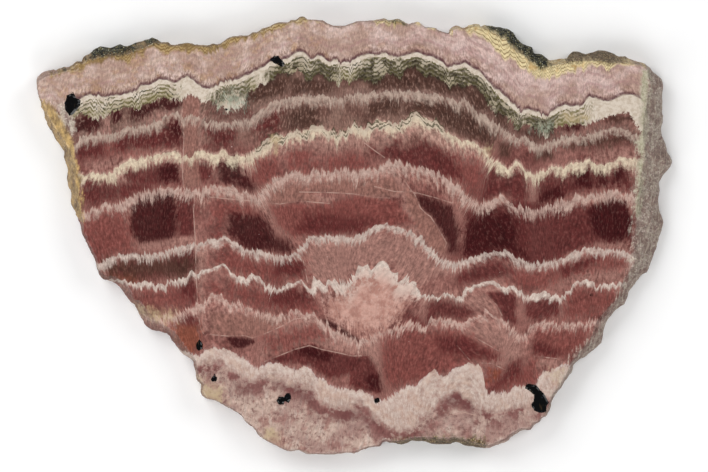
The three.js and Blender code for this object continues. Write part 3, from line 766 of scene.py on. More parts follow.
def stone_mesh():
    """The closed skin of the slice in mm, its faces and which finish each face has."""
    rows, count = edge.shape[:2]
    points = [edge.reshape(-1, 3)]
    faces, finishes = [], []
    for k in range(rows - 1):
        for i in range(count):
            a, b = k * count + i, k * count + (i + 1) % count
            faces.append((a, a + count, b + count, b))
            finishes.append(EDGE)
    total = rows * count
    lines = SEAMS + [[*outline, outline[0]] for _, outline in PATCHES["ore"]]
    for outline, step, height, first, finish, followed in (
        (edge[-1], FACE_STEP, THICKNESS, (rows - 1) * count, FACE, lines),
        (edge[0], BACK_STEP, 0.0, 0, BACK, []),
    ):
        flat, triangles, origins = flat_cap(outline[:, :2], step, followed)
        names = []
        for place, origin in zip(flat, origins):
            rim = [v for v in origin if v < count]
            names.append(first + rim[0] if rim else total)
            if not rim:
                points.append([[place[0], place[1], height]])
                total += 1
        for a, b, c in triangles:
            turn = (names[a], names[b], names[c])
            faces.append(turn if finish == FACE else turn[::-1])
            finishes.append(finish)
    return np.vstack(points), faces, finishes


skin, skin_faces, skin_finishes = stone_mesh()
measures = {**band_fields(skin), **patch_fields(skin)}
on_edge = np.zeros(len(skin))
on_edge[: (edge.shape[0] - 1) * edge.shape[1]] = 1
on_face = (skin[:, 2] > THICKNESS - 0.01) & (on_edge == 0)
pitted = grain(skin, 0.7, 5, 2) * 0.4 + 1
skin[:, 2] -= on_face * ORE_DEPTH * pitted * np.clip(measures["ore"] - 0.5, 0, ORE_SLOPE) / ORE_SLOPE

stone_data = bpy.data.meshes.new("rhodochrosite_stone")
stone_data.from_pydata(np.clip(skin * MM, cad_low, cad_high).tolist(), [], skin_faces)
outer_zone = [np.mean(measures["purple_line"][list(face)]) > LACE_TOP for face in skin_faces]
finishes = [finish + len(FINISHES) * outer for finish, outer in zip(skin_finishes, outer_zone)]
stone_data.polygons.foreach_set("material_index", finishes)
stone_data.polygons.foreach_set("use_smooth", [finish != BACK for finish in skin_finishes])
for name, values in measures.items():
    stored = stone_data.attributes.new(name, "FLOAT", "POINT")
    stored.data.foreach_set("value", np.ascontiguousarray(values, np.float32))
stone = bpy.data.objects.new("rhodochrosite_stone", stone_data)
bpy.context.scene.collection.objects.link(stone)
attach(stone, "root")
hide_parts(NODE)


# ---- The stone's colours ------------------------------------------------------------------------
# Manganese carbonate, pink to wine red where it is clear and white where it is fine-grained, with
# greenish-black manganese oxides in the lace. Node groups hold the stone's colour, so that the
# face, the edge and the back show the same bands.


def colour(red, green, blue):
    """A colour from its screen values, 0 to 255, as linear light."""
    parts = [value / 255 for value in (red, green, blue)]
    return tuple(p / 12.92 if p <= 0.04045 else ((p + 0.055) / 1.055) ** 2.4 for p in parts) + (1,)


class Nodes:
    """Short calls for adding nodes to one tree and joining them."""

    def __init__(self, tree):
        self.tree = tree

    def add(self, kind, inputs=(), **settings):
        node = self.tree.nodes.new("ShaderNode" + kind)
        for key, value in settings.items():
            setattr(node, key, value)
        for socket, value in dict(inputs).items():
            self.join(value, node.inputs[socket])
        return node

    def join(self, value, socket):
        """Links a socket to this one, or sets this one to a number or to a tone's screen values."""
        if isinstance(value, bpy.types.NodeSocket):
            self.tree.links.new(value, socket)
        elif value is not None:
            socket.default_value = colour(*value) if socket.type == "RGBA" else value

    def maths(self, operation, a, b=None, c=None):
        return self.add("Math", {0: a, 1: b, 2: c}, operation=operation).outputs[0]

    def times(self, first, *others):
        for other in others:
            first = self.maths("MULTIPLY", first, other)
        return first

    def plus(self, a, b):
        return self.maths("ADD", a, b)

    def ramp(self, value, low, high, start=0.0, end=1.0, smooth=True):
        """The value's range from low to high becomes start to end, with soft ends if smooth."""
        kind = "SMOOTHSTEP" if smooth else "LINEAR"
        inputs = {"Value": value, "From Min": low, "From Max": high, "To Min": start, "To Max": end}
        return self.add("MapRange", inputs, interpolation_type=kind, clamp=True).outputs[0]

    def between(self, share, start, end):
        """A share from 0 to 1 becomes start to end."""
        return self.ramp(share, 0, 1, start, end, smooth=False)

    def spread(self, noise_value, start, end):
        """The usual range of a noise, its rarest values apart, becomes start to end."""
        return self.ramp(noise_value, 0.36, 0.64, start, end, smooth=False)

    def measure(self, name):
        return self.add("Attribute", attribute_name=name, attribute_type="GEOMETRY").outputs["Fac"]

    def vector(self, x, y=0.0, z=0.0):
        return self.add("CombineXYZ", {0: x, 1: y, 2: z}).outputs[0]

    def grains(self, place, scale, detail=2.0, rough=0.5):
        """Noise of about 0.3 to 0.7, with lumps of 1 / scale."""
        inputs = {"Vector": place, "Scale": scale, "Detail": detail, "Roughness": rough}
        return self.add("TexNoise", inputs, noise_dimensions="3D").outputs["Fac"]

    def cells(self, inputs, **settings):
        """Distance to the middle of the nearest cell, and that cell's random value."""
        node = self.add("TexVoronoi", inputs, **settings)
        chance = self.add("SeparateColor", {0: node.outputs["Color"]}).outputs[0]
        return node.outputs["Distance"], chance

    def row_of_cells(self, place):
        return self.cells({"W": place, "Scale": 1.0}, voronoi_dimensions="1D")

    def over(self, below, mask, above):
        """The colour above laid over the one below where the mask is 1."""
        node = self.add("Mix", data_type="RGBA", clamp_factor=True)
        self.join(mask, node.inputs[0])
        self.join(below, node.inputs[6])
        self.join(above, node.inputs[7])
        return node.outputs[2]

    def scaled(self, vector, factor):
        return self.add("VectorMath", {0: vector, "Scale": factor}, operation="SCALE").outputs[0]

    def lit(self, tone, factor):
        """The colour made lighter or darker by the factor."""
        return self.add("HueSaturation", {"Color": tone, "Value": factor}).outputs[0]

    def group(self, tree, **inputs):
        """A node group with those inputs; words in a name are joined with _."""
        node = self.tree.nodes.new("ShaderNodeGroup")
        node.node_tree = tree
        for key, value in inputs.items():
            self.join(value, node.inputs[key.replace("_", " ").title()])
        return node.outputs


def new_group(name, inputs, outputs):
    """A node group with named sockets: its nodes, its inputs and its output node."""
    tree = bpy.data.node_groups.new(name, "ShaderNodeTree")
    for socket, default in inputs.items():
        made = tree.interface.new_socket(socket, in_out="INPUT", socket_type="NodeSocketFloat")
        made.default_value = default
    for socket, kind in outputs.items():
        tree.interface.new_socket(socket, in_out="OUTPUT", socket_type="NodeSocket" + kind)
    given = tree.nodes.new("NodeGroupInput")
    return Nodes(tree), given.outputs, tree.nodes.new("NodeGroupOutput")


def crystal_row_group():
    """A film of pale crystal with fine upright tips, ragged below, and a glow on both sides."""
    nodes, given, result = new_group(
        "crystal_row",
        {"Distance": 0, "Fibre": 0, "Seed": 0, "Tip Height": 1, "Tip Width": 1, "Hair": 0.5,
         "Thickness": 1, "Ragged": 0.3, "Fade Down": 2, "Fade Up": 0.5},
        {"Film": "Float", "Glow": "Float"},
    )
    place = nodes.plus(nodes.maths("DIVIDE", given["Fibre"], given["Tip Width"]), given["Seed"])
    near, chance = nodes.row_of_cells(place)
    tooth = nodes.times(nodes.maths("SUBTRACT", 0.32, near), nodes.between(chance, 0.5, 1.6))
    tips = nodes.times(tooth, given["Tip Height"])
    # hairs: two finer rows of spikes, 0.52 and 0.27 mm apart
    for width, share in ((0.52, 1.0), (0.27, 0.6)):
        row = nodes.plus(nodes.maths("DIVIDE", given["Fibre"], width), nodes.times(given["Seed"], 3.3))
        near, chance = nodes.row_of_cells(row)
        spike = nodes.times(nodes.maths("SUBTRACT", 0.4, near), chance, given["Hair"], 2.4 * share)
        tips = nodes.plus(tips, spike)
    tips = nodes.maths("SUBTRACT", tips, nodes.times(given["Hair"], 0.25))
    above = nodes.maths("SUBTRACT", given["Distance"], tips)
    place = nodes.vector(
        nodes.times(given["Fibre"], 3.0), nodes.times(given["Distance"], 0.75), given["Seed"]
    )
    streaks = nodes.ramp(nodes.grains(place, 1.0, 4.0, 0.72), 0.37, 0.63, smooth=False)
    swell = nodes.grains(nodes.vector(nodes.times(given["Fibre"], 0.55), given["Seed"]), 1.0, 1.0)
    depth = nodes.times(given["Thickness"], nodes.ramp(swell, 0.3, 0.7, 0.6, 1.4))
    depth = nodes.plus(depth, nodes.times(given["Ragged"], nodes.between(streaks, -0.7, 1.0)))
    under = nodes.plus(above, depth)
    film = nodes.times(
        nodes.ramp(above, -0.22, 0.05, 1.0, 0.0),
        nodes.ramp(under, nodes.times(given["Ragged"], -1.3), nodes.plus(given["Ragged"], 0.3)),
        nodes.between(streaks, 0.5, 1.0),
    )
    lower = nodes.plus(nodes.maths("DIVIDE", under, given["Fade Down"]), 1.0)
    upper = nodes.maths("SUBTRACT", 1.0, nodes.maths("DIVIDE", above, given["Fade Up"]))
    glow = nodes.maths("MINIMUM", nodes.ramp(lower, 0, 1), nodes.ramp(upper, 0, 1))
    glow = nodes.times(glow, nodes.between(streaks, 0.15, 1.25))
    nodes.join(film, result.inputs["Film"])
    nodes.join(glow, result.inputs["Glow"])
    return nodes.tree


def laminae_group():
    """Thin laminae that follow a row of arches, one pitch apart."""
    nodes, given, result = new_group(
        "arched_laminae",
        {"Distance": 0, "Fibre": 0, "Seed": 0, "Arch Height": 1, "Arch Width": 2, "Pitch": 0.6,
         "Weight": 0.4},
        {"Lamina": "Float", "Level": "Float"},
    )
    place = nodes.plus(nodes.maths("DIVIDE", given["Fibre"], given["Arch Width"]), given["Seed"])
    near, chance = nodes.row_of_cells(place)
    near = nodes.maths("MINIMUM", near, 0.5)
    fine, _ = nodes.row_of_cells(nodes.times(place, 2.7))
    dome = nodes.times(near, near, nodes.between(chance, -1.6, -3.6))
    dome = nodes.plus(nodes.plus(dome, nodes.times(nodes.maths("MINIMUM", fine, 0.5), -0.5)), 0.4)
    level = nodes.maths("SUBTRACT", given["Distance"], nodes.times(dome, given["Arch Height"]))
    turn = nodes.maths("FRACT", nodes.maths("DIVIDE", level, given["Pitch"]))
    swing = nodes.times(nodes.maths("ABSOLUTE", nodes.maths("SUBTRACT", turn, 0.5)), 2.0)
    low = nodes.maths("SUBTRACT", given["Weight"], 0.15)
    nodes.join(nodes.ramp(swing, low, nodes.plus(low, 0.3), 1.0, 0.0), result.inputs["Lamina"])
    nodes.join(level, result.inputs["Level"])
    return nodes.tree


def patch_group():
    """A patch's mask, its border frayed along the growth fibres."""
    nodes, given, result = new_group(
        "frayed_patch", {"Reach": 0, "Streaks": 0.5, "Specks": 0.5, "Strength": 1}, {"Mask": "Float"}
    )
    fray = nodes.plus(
        nodes.spread(given["Streaks"], -0.6, 0.6),
        nodes.spread(given["Specks"], -0.35, 0.35),
    )
    mask = nodes.ramp(nodes.plus(given["Reach"], fray), -0.25, 1.25)
    nodes.join(nodes.times(mask, given["Strength"]), result.inputs["Mask"])
    return nodes.tree


ROW_SHAPE = ("tip_height", "tip_width", "hair", "thickness", "ragged", "fade_down", "fade_up")
CRYSTAL_ROW = crystal_row_group()
ARCHED_LAMINAE = laminae_group()
FRAYED_PATCH = patch_group()


class StoneNodes(Nodes):
    """Nodes of a group that colours the stone, with the noises that its colours share."""

    def __init__(self, name, inputs=(), outputs=()):
        outputs = {"Colour": "Color", **dict(outputs)}
        made, self.given, self.result = new_group(name, dict(inputs), outputs)
        super().__init__(made.tree)
        self.fibre = self.measure("fibre")
        self.spot = self.scaled(self.add("TexCoord").outputs["Object"], 1 / MM)
        self.place = self.add("SeparateXYZ", {0: self.spot}).outputs
        self.clouds = self.grains(self.spot, 0.17, 3.0, 0.55)
        self.mottles = self.grains(self.spot, 0.45, 4.0, 0.62)
        self.specks = self.grains(self.spot, 1.3, 5.0, 0.72)
        self.strands = self.along_fibres(1.7, 0.3, 0.0, 4.0)
        self.hairs = self.along_fibres(4.6, 0.95, 7.0, 3.0)

    def along_fibres(self, across, upward, seed, detail):
        """Noise drawn out along the growth fibres."""
        place = self.vector(self.times(self.fibre, across), self.times(self.place[1], upward), seed)
        return self.grains(place, 1.0, detail, 0.64)

    def crumbs(self, scale):
        return self.cells({"Vector": self.spot, "Scale": scale}, feature="F1")

    def patch(self, kind, strength=1.0):
        made = self.group(
            FRAYED_PATCH, reach=self.measure(kind), streaks=self.strands, specks=self.specks,
            strength=strength,
        )
        return made["Mask"]

    def cream(self):
        """The fine-grained white stone of the lace."""
        grainy = self.ramp(self.specks, 0.38, 0.58)
        return self.over((190, 174, 156), grainy, (212, 199, 184))


def inner_bands_group():
    """The stone's colour from its foot up to the lace."""
    nodes = StoneNodes("inner_bands")
    measure, over, ramp, spread = nodes.measure, nodes.over, nodes.ramp, nodes.spread
    times, plus = nodes.times, nodes.plus
    clouds, mottles, specks = nodes.clouds, nodes.mottles, nodes.specks
    strands, hairs = nodes.strands, nodes.hairs
    fibre, place, patch = nodes.fibre, nodes.place, nodes.patch
    height = place[1]

    # the body of the stone, brick pink to brick red, browner in the upper middle
    stone = over((112, 66, 61), ramp(clouds, 0.32, 0.66), (144, 98, 90))
    brown = times(ramp(height, 15.0, 23.0), ramp(place[0], 24.0, 36.0, 1.0, 0.35), 0.75)
    umber = over((98, 72, 63), ramp(clouds, 0.35, 0.65), (126, 101, 89))
    stone = over(stone, brown, umber)

    # the white of the pale pink cluster is thicker than the rest of its line
    cluster = times(ramp(place[0], -10.5, -8.0), ramp(place[0], 11.5, 14.0, 1.0, 0.0))
    whiter = nodes.maths("MULTIPLY_ADD", cluster, 0.9, 1.0)
    zigzag = nodes.maths("MULTIPLY_ADD", cluster, 1.2, 1.1)
    rows = (
        # the line; tip height and width, hair, thickness, ragged, fade down and up; the tones of the
        # film and of the glow, and how strong the glow is
        ("white_band_top", (1.3, 1.7, 0.5, 1.0, 0.3, 1.0, 1.0),
         (206, 188, 180), (168, 126, 118), 0.7),
        ("feather_3", (1.2, 1.3, 0.8, 0.9, 0.7, 3.2, 0.4),
         (198, 168, 156), (172, 124, 114), 0.95),
        ("bright_zigzag", (zigzag, 1.15, 0.2, whiter, 0.3, 2.2, 1.0),
         (214, 198, 186), (164, 120, 110), 0.8),
        ("white_line", (0.6, 1.1, 0.55, 1.3, 0.5, 2.2, 0.5),
         (200, 182, 171), (166, 122, 112), 0.9),
        ("feather_2", (1.0, 1.2, 0.8, 1.5, 0.8, 2.6, 0.5),
         (192, 164, 152), (162, 120, 109), 0.9),
        ("cream_zigzag", (1.1, 1.4, 0.25, 1.4, 0.6, 3.0, 0.7),
         (216, 200, 174), (186, 150, 136), 1.0),
        ("feather_1", (0.8, 1.3, 0.6, 1.3, 0.7, 1.2, 1.8),
         (184, 162, 148), (134, 104, 95), 0.9),
    )
    films = []
    for seed, (line, shape, film, glow, strength) in enumerate(rows):
        row = nodes.group(
            CRYSTAL_ROW, distance=measure(line), fibre=fibre, seed=seed * 17.3,
            **dict(zip(ROW_SHAPE, shape)),
        )
        stone = over(stone, times(row["Glow"], strength), glow)
        films.append((row["Film"], film))

    for kind, tone, strength in (
        ("pale", (156, 116, 106), 0.75),
        ("brick", (118, 63, 58), 0.85),
        ("rust", (130, 72, 54), 0.8),
        ("dusk", (88, 38, 37), 0.9),
        ("earth", (70, 45, 37), 0.88),
        ("deep", (56, 12, 15), 0.92),
        ("cloud", (136, 94, 84), 0.8),
    ):
        stone = over(stone, patch(kind, strength), tone)

    # fine grain and hairs, and tiny painted glints in the dark crystal, where its cleavage chips catch
    # the light
    stone = nodes.lit(stone, times(spread(strands, 0.82, 1.16),
                                   spread(specks, 0.8, 1.2),
                                   spread(hairs, 0.72, 1.26)))
    silk = times(ramp(hairs, 0.53, 0.64), plus(times(brown, 0.36), 0.09))
    stone = over(stone, silk, (172, 138, 125))
    # painted glints: rare small bright dots laid into the colour of the crystal
    near, chance = nodes.crumbs(1.1)
    chosen = ramp(chance, 0.97, 1.0)
    glints = times(ramp(near, 0.2, 0.08), chosen, ramp(specks, 0.5, 0.6))
    stone = over(stone, glints, (206, 178, 172))

    for film, tone in films:
        stone = over(stone, film, nodes.lit(tone, ramp(specks, 0.36, 0.64, 0.8, 1.12)))

    # green-black laminae along the cream zigzag in the middle
    wobble = ramp(specks, 0.3, 0.7, -0.3, 0.3, smooth=False)
    cream_web = nodes.group(
        ARCHED_LAMINAE, distance=plus(measure("cream_zigzag"), wobble), fibre=fibre, seed=21.0,
        arch_height=1.5, arch_width=1.5, pitch=0.8, weight=0.45,
    )
    middle = times(ramp(place[0], -23.0, -19.0), ramp(place[0], 17.0, 20.0, 1.0, 0.0))
    level = cream_web["Level"]
    crest = times(ramp(level, -1.1, -0.8), ramp(level, 0.7, 0.9, 1.0, 0.0))
    white_core = times(middle, crest, ramp(level, 0.4, 0.1))
    stone = over(stone, times(white_core, 0.7), (200, 184, 164))
    web = times(middle, crest, cream_web["Lamina"], ramp(mottles, 0.44, 0.52))
    stone = over(stone, times(web, 0.8), (72, 68, 48))

    # mottled pale stone at the foot, then the thick white band, soft below and toothed above
    sag = ramp(mottles, 0.3, 0.7, -1.1, 1.1, smooth=False)
    foot = ramp(plus(measure("white_band_foot"), sag), 0.5, -0.7)
    ground = over((160, 124, 114), ramp(mottles, 0.36, 0.54), (188, 162, 149))
    ground = over(ground, ramp(strands, 0.5, 0.64, 0.0, 0.6), (204, 184, 172))
    ground = over(ground, ramp(specks, 0.46, 0.36, 0.0, 0.7), (126, 84, 79))
    shade = times(
        ramp(measure("white_band_foot"), -4.2, -1.4), ramp(measure("white_band_foot"), 0.4, -0.8)
    )
    ground = over(ground, times(shade, ramp(mottles, 0.58, 0.42, 0.25, 0.95)), (118, 74, 71))
    ground = over(ground, ramp(clouds, 0.44, 0.6, 0.0, 0.6), (138, 98, 93))
    ground = nodes.lit(ground, times(spread(hairs, 0.82, 1.16),
                                     spread(specks, 0.84, 1.14)))
    ground = over(ground, patch("dusk", 0.62), (100, 56, 56))
    stone = over(stone, foot, ground)
    white_row = nodes.group(
        CRYSTAL_ROW, distance=measure("white_band_top"), fibre=fibre, seed=41.0, tip_height=1.2,
        tip_width=1.9, hair=0.5, thickness=20.0, ragged=0.3, fade_down=1.0, fade_up=1.0,
    )
    soft_foot = ramp(plus(measure("white_band_foot"), sag), -0.9, 0.9)
    white = over((194, 170, 158), ramp(specks, 0.4, 0.58), (208, 191, 179))
    white = over(white, times(ramp(mottles, 0.5, 0.64), 0.5), (200, 170, 152))
    stone = over(stone, times(soft_foot, white_row["Film"]), white)

    # pale pink cluster in the middle
    flesh = over((170, 124, 112), ramp(mottles, 0.4, 0.6), (196, 153, 140))
    flesh = over(flesh, times(ramp(measure("bright_zigzag"), -5.0, -1.0), ramp(mottles, 0.36, 0.5)),
                 (206, 182, 170))
    flesh = over(flesh, ramp(hairs, 0.54, 0.66, 0.0, 0.3), (214, 192, 182))
    flesh = nodes.lit(flesh, spread(specks, 0.9, 1.1))
    stone = over(stone, times(patch("blob"), ramp(measure("bright_zigzag"), -0.6, -1.2)), flesh)

    # healed fractures
    thread = times(ramp(measure("seam"), 0.17, 0.02), ramp(mottles, 0.4, 0.6, 0.1, 0.8))
    stone = over(stone, thread, (184, 150, 138))

    # white lace: arched green-black laminae hang under the purple line
    under = times(measure("purple_line"), -1.0)
    weight = ramp(mottles, 0.34, 0.56, 0.25, 0.6)
    arches = {"fibre": fibre, "seed": 3.0, "arch_width": 2.9, "weight": weight}
    lace = nodes.group(
        ARCHED_LAMINAE, distance=plus(measure("purple_line"), wobble), pitch=0.85,
        arch_height=ramp(under, 0.0, 2.6, 0.85, 1.9), **arches,
    )
    hem_line = nodes.group(ARCHED_LAMINAE, distance=measure("lace_foot"), arch_height=1.5, **arches)
    ragged = plus(spread(hairs, -0.4, 0.4), wobble)
    in_lace = plus(hem_line["Level"], ragged)
    laced = patch("lace")
    low_half = times(laced, ramp(in_lace, 2.4, 0.2))
    knotted = patch("knots")
    cream = nodes.cream()
    cream = over(cream, times(low_half, ramp(specks, 0.38, 0.6, 0.3, 0.9)), (140, 128, 90))
    cream = over(cream, times(knotted, 0.55), (150, 138, 116))
    stone = over(stone, ramp(in_lace, -0.5, -0.2), cream)
    web = times(laced, lace["Lamina"], ramp(lace["Level"], -0.2, -0.4), ramp(in_lace, -0.5, -0.3))
    web_tone = over((42, 44, 28), ramp(mottles, 0.38, 0.56), (108, 100, 62))
    stone = over(stone, times(web, ramp(specks, 0.36, 0.56, 0.6, 0.95)), web_tone)
    knots = times(knotted, ramp(in_lace, -1.2, -0.5), ramp(under, 0.8, 1.4),
                  ramp(plus(mottles, times(in_lace, -0.03)), 0.4, 0.47))
    stone = over(stone, times(knots, ramp(specks, 0.36, 0.56, 0.95, 0.5)), (40, 34, 24))
    teal = times(patch("teal"), ramp(specks, 0.38, 0.58, 0.1, 0.65))
    stone = over(stone, teal, (160, 168, 150))
    straw = times(patch("straw"), ramp(mottles, 0.38, 0.6, 0.25, 0.75))
    stone = over(stone, straw, (188, 167, 132))

    nodes.join(stone, nodes.result.inputs["Colour"])
    return nodes.tree


def outer_bands_group():
    """The stone's colour above the lace: the pink band and its tan fringe."""
    nodes = StoneNodes("outer_bands")
    measure, over, ramp, spread = nodes.measure, nodes.over, nodes.ramp, nodes.spread
    times, plus = nodes.times, nodes.plus
    clouds, mottles, specks, hairs = nodes.clouds, nodes.mottles, nodes.specks, nodes.hairs
    fibre, place = nodes.fibre, nodes.place
    stone = nodes.cream()

    # outer pink band: fine upright hairs and faint wavy laminae over a purple line
    waves = nodes.group(
        ARCHED_LAMINAE, distance=measure("purple_line"), fibre=fibre, seed=3.0, arch_height=0.85,
        arch_width=2.9, pitch=1.3, weight=0.45,
    )
    level = waves["Level"]
    tan_side = ramp(place[0], -20.0, 25.0, 1.0, 0.0)
    pink = over((200, 172, 164), tan_side, (194, 168, 154))
    pink = over(pink, ramp(mottles, 0.5, 0.36, 0.0, 0.7), (208, 183, 176))
    pink = over(pink, ramp(clouds, 0.42, 0.6, 0.0, 0.8), (166, 135, 120))
    wavy = times(waves["Lamina"], ramp(mottles, 0.42, 0.6, 0.0, 0.6))
    pink = over(pink, wavy, (162, 128, 124))
    middle = times(ramp(level, 2.0, 2.5), ramp(level, 3.1, 2.6), ramp(specks, 0.36, 0.6, 0.1, 0.6))
    pink = over(pink, middle, (150, 112, 112))
    rusty = plus(tan_side, ramp(level, 3.0, 0.5, 0.0, 0.4))
    pink = over(pink, times(ramp(mottles, 0.52, 0.64), rusty, 0.4), (172, 136, 98))
    pink = nodes.lit(pink, times(spread(hairs, 0.78, 1.18),
                                 spread(specks, 0.82, 1.16)))
    near_line = ramp(level, 2.4, 0.2)
    pink = over(pink, times(near_line, ramp(hairs, 0.54, 0.42), 0.7), (124, 92, 80))
    stone = over(stone, ramp(level, -0.08, 0.08), pink)
    thread = times(ramp(level, -0.35, -0.1), ramp(level, 0.7, 0.15))
    stone = over(stone, times(thread, ramp(specks, 0.36, 0.6, 0.5, 0.95)), (88, 54, 58))

    # tan outer fringe with olive-brown zigzag laminae
    fringe = nodes.group(
        ARCHED_LAMINAE, distance=measure("tan_foot"), fibre=fibre, seed=5.0, arch_height=1.1,
        arch_width=1.6, pitch=0.66, weight=ramp(place[0], -30.0, 20.0, 0.45, 0.3),
    )
    sag = ramp(mottles, 0.3, 0.7, -1.1, 1.1, smooth=False)
    tan = over((134, 108, 72), ramp(mottles, 0.4, 0.58), (172, 146, 102))
    yellow = over((190, 158, 108), ramp(mottles, 0.36, 0.5), (218, 200, 156))
    tan = over(tan, ramp(place[0], -24.0, 16.0), yellow)
    bars = times(fringe["Lamina"], ramp(mottles, 0.4, 0.56, 0.1, 0.75))
    tan = over(tan, bars, (122, 92, 54))
    tan = nodes.lit(tan, spread(specks, 0.7, 1.2))
    stone = over(stone, ramp(plus(fringe["Level"], times(sag, 0.4)), -0.5, 0.6), tan)

    nodes.join(stone, nodes.result.inputs["Colour"])
    return nodes.tree


def rim_and_ore_group():
    """What lies over the bands: the rim's crusts, the ore, and dust on the unpolished stone."""
    nodes = StoneNodes("rim_and_ore", {"Dust": 0.0}, {"Ore": "Float"})
    bands = nodes.tree.interface.new_socket("Bands", in_out="INPUT", socket_type="NodeSocketColor")
    measure, over, ramp, spread = nodes.measure, nodes.over, nodes.ramp, nodes.spread
    times, plus = nodes.times, nodes.plus
    mottles, specks, strands = nodes.mottles, nodes.specks, nodes.strands
    spot, place, patch = nodes.spot, nodes.place, nodes.patch
    stone = nodes.given[bands.name]

    # what the rim kept: dark crust, olive-brown crust, golden skin and chalky grey-green grains
    wall = nodes.grains(spot, 1.9, 4.0, 0.7)
    near, chance = nodes.crumbs(2.6)
    # each grain's random tone, painted darker towards its border as shade between the grains
    crumb_tone_and_shade = times(ramp(near, 0.6, 0.1, 0.25, 1.0), ramp(chance, 0, 1, 0.3, 1.3))
    crust = over((16, 18, 14), ramp(crumb_tone_and_shade, 0.3, 0.8), (104, 106, 86))
    crust = over(crust, ramp(wall, 0.54, 0.6, 0.0, 0.8), (128, 120, 78))
    # painted glints on the brightest grains of the crust
    crust = over(crust, ramp(crumb_tone_and_shade, 0.85, 1.1), (196, 192, 168))
    walled = patch("crust")
    stone = over(stone, walled, crust)
    olive = over((70, 60, 40), ramp(crumb_tone_and_shade, 0.2, 0.8), (156, 140, 104))
    olive = over(olive, ramp(wall, 0.5, 0.62, 0.0, 0.7), (126, 96, 60))
    stone = over(stone, patch("olive"), olive)
    drawn_out = nodes.vector(times(place[0], 1.2), times(place[1], 0.4), 3.0)
    streaky = nodes.grains(drawn_out, 1.0, 4.0, 0.66)
    gold = over((134, 110, 80), ramp(streaky, 0.38, 0.5), (176, 148, 104))
    gold = over(gold, ramp(streaky, 0.5, 0.6, 0.0, 0.8), (200, 166, 110))
    stone = over(stone, patch("gold"), nodes.lit(gold, ramp(specks, 0.36, 0.64, 0.75, 1.15)))
    chalk = over((160, 142, 132), ramp(crumb_tone_and_shade, 0.2, 0.75), (214, 198, 186))
    chalk = over(chalk, ramp(wall, 0.5, 0.6, 0.0, 0.8), (196, 188, 168))
    chalk = over(chalk, ramp(mottles, 0.5, 0.56, 0.0, 0.75), (112, 84, 80))
    chalk = nodes.lit(chalk, spread(specks, 0.72, 1.2))
    chalk = over(chalk, ramp(strands, 0.54, 0.62, 0.0, 0.7), (204, 192, 176))
    stone = over(stone, patch("chalk", 0.92), chalk)
    vein = over((150, 148, 120), ramp(wall, 0.4, 0.54), (186, 180, 156))
    stone = over(stone, patch("vein", 0.85), vein)

    # black ore, with a bluish or brown glint painted into its colour
    ore_reach = plus(measure("ore"), ramp(specks, 0.3, 0.7, -0.14, 0.14, smooth=False))
    ore = ramp(ore_reach, 0.42, 0.54)
    # the bluish and the brown tones are painted glints on the black ore
    ore_black_and_glint = over((4, 4, 5), ramp(specks, 0.6, 0.68, 0.0, 0.6), (40, 48, 58))
    ore_black_and_glint = over(ore_black_and_glint, ramp(strands, 0.6, 0.68, 0.0, 0.7), (74, 56, 36))
    stone = over(stone, ore, ore_black_and_glint)

    # dust and bruising, which the edge and the back have
    dust = over((104, 88, 80), ramp(mottles, 0.38, 0.6), (150, 132, 118))
    bare = ramp(walled, 0.0, 1.0, 1.0, 0.1)
    dusty = times(nodes.given["Dust"], bare)
    stone = over(stone, dusty, nodes.lit(dust, ramp(wall, 0.36, 0.64, 0.6, 1.25)))
    nodes.join(stone, nodes.result.inputs["Colour"])
    nodes.join(ore, nodes.result.inputs["Ore"])
    return nodes.tree


BANDS = {"inner": inner_bands_group(), "outer": outer_bands_group()}
RIM_AND_ORE = rim_and_ore_group()
STONE_SPECULAR = 0.35
ORE_GLOSS = 0.06  # how much less rough the ore is than the stone around it


def stone_material(name, zone, dust, roughness, relief, relief_scale):
    """One finish of one zone of bands: how dusty and rough it is, and its relief in mm."""
    material = bpy.data.materials.new(f"{name}_{zone}")
    material.use_nodes = True
    nodes = Nodes(material.node_tree)
    shader = material.node_tree.nodes["Principled BSDF"]
    spot = nodes.scaled(nodes.add("TexCoord").outputs["Object"], 1 / MM)
    lumps = nodes.grains(spot, relief_scale, 5.0, 0.66)
    dust_mask = nodes.ramp(lumps, 0.32, 0.68, dust * 0.4, dust * 1.6) if dust else 0.0
    bands = nodes.group(BANDS[zone])["Colour"]
    stone_out = nodes.group(RIM_AND_ORE, dust=dust_mask, bands=bands)
    nodes.join(stone_out["Colour"], shader.inputs["Base Color"])
    finish = nodes.ramp(lumps, 0.3, 0.7, roughness * 0.8, roughness * 1.2)
    finish = nodes.plus(finish, nodes.times(stone_out["Ore"], -ORE_GLOSS))
    nodes.join(finish, shader.inputs["Roughness"])
    bump = nodes.add("Bump", {"Height": lumps, "Distance": relief * MM, "Strength": 1.0})
    nodes.join(bump.outputs[0], shader.inputs["Normal"])
    shader.inputs["Specular IOR Level"].default_value = STONE_SPECULAR
    return material


for zone in BANDS:
    for name, finish in FINISHES.items():
        stone_data.materials.append(stone_material(name, zone, *finish))


# ---- Table, light and camera --------------------------------------------------------------------
# The slice lies on a plain white table under soft boxes on all sides, and the camera looks
# straight down on it through a long lens.

TABLE_SIZE = 3.0
CAMERA_HEIGHT = 1.6
VIEW_WIDTH = 0.1416  # metres of the polished face's plane that the view takes in
SENSOR = 36.0  # mm
VIEW_CENTRE = (-0.0001, -0.0001)
TABLE_SHADE = 0.95
BOX_SIZE = 0.6  # metres along each side of a soft box
BOX_DISTANCE = 0.9  # metres from the frame's origin
SKY_STRENGTH = 0.14

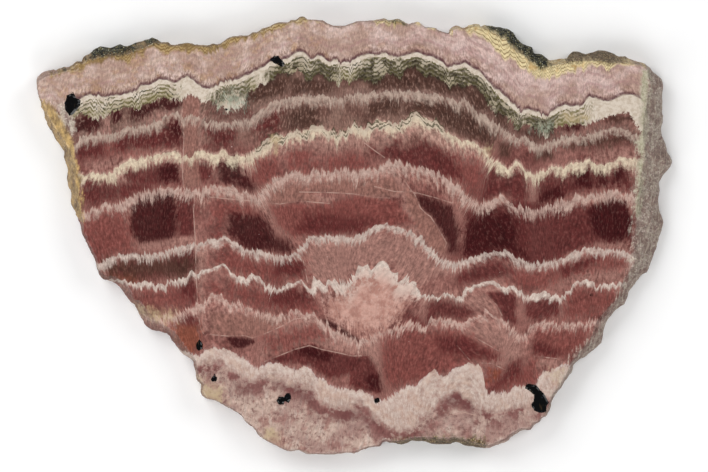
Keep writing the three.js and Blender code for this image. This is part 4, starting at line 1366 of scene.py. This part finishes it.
table_mesh = bpy.data.meshes.new("table_top")
half = TABLE_SIZE / 2
table_mesh.from_pydata(
    [(-half, -half, 0), (half, -half, 0), (half, half, 0), (-half, half, 0)], [], [(0, 1, 2, 3)]
)
table_top = bpy.data.objects.new("table_top", table_mesh)
bpy.context.scene.collection.objects.link(table_top)
table_paint = bpy.data.materials.new("white_table")
table_paint.use_nodes = True
table_shader = table_paint.node_tree.nodes["Principled BSDF"]
table_shader.inputs["Base Color"].default_value = (TABLE_SHADE,) * 3 + (1,)
table_shader.inputs["Roughness"].default_value = 0.8
table_shader.inputs["Specular IOR Level"].default_value = 0.2
table_mesh.materials.append(table_paint)

for name, azimuth, elevation, power in (  # in degrees and watts
    ("key_box", 135, 42, 4.4),
    ("right_box", 30, 38, 3.15),
    ("left_box", 215, 38, 3.15),
    ("front_box", 285, 38, 3.15),
):
    box = bpy.data.lights.new(name, "AREA")
    box.shape = "SQUARE"
    box.size = BOX_SIZE
    box.energy = power
    lamp = bpy.data.objects.new(name, box)
    bpy.context.scene.collection.objects.link(lamp)
    turn, rise = math.radians(azimuth), math.radians(elevation)
    sideways = math.cos(rise)
    away = Vector((math.cos(turn) * sideways, math.sin(turn) * sideways, math.sin(rise)))
    lamp.location = away * BOX_DISTANCE
    lamp.rotation_euler = away.to_track_quat("Z", "Y").to_euler()

world = bpy.data.worlds.new("studio")
world.use_nodes = True
world.node_tree.nodes["Background"].inputs["Color"].default_value = (1, 1, 1, 1)
world.node_tree.nodes["Background"].inputs["Strength"].default_value = SKY_STRENGTH
bpy.context.scene.world = world

lens = bpy.data.cameras.new("view_from_above")
lens.sensor_width = SENSOR
lens.lens = SENSOR * (CAMERA_HEIGHT - THICKNESS * MM) / VIEW_WIDTH
lens.clip_end = 10
camera = bpy.data.objects.new("view_from_above", lens)
camera.location = (*VIEW_CENTRE, CAMERA_HEIGHT)
bpy.context.scene.collection.objects.link(camera)
bpy.context.scene.camera = camera
bpy.context.scene.view_settings.view_transform = "Standard"
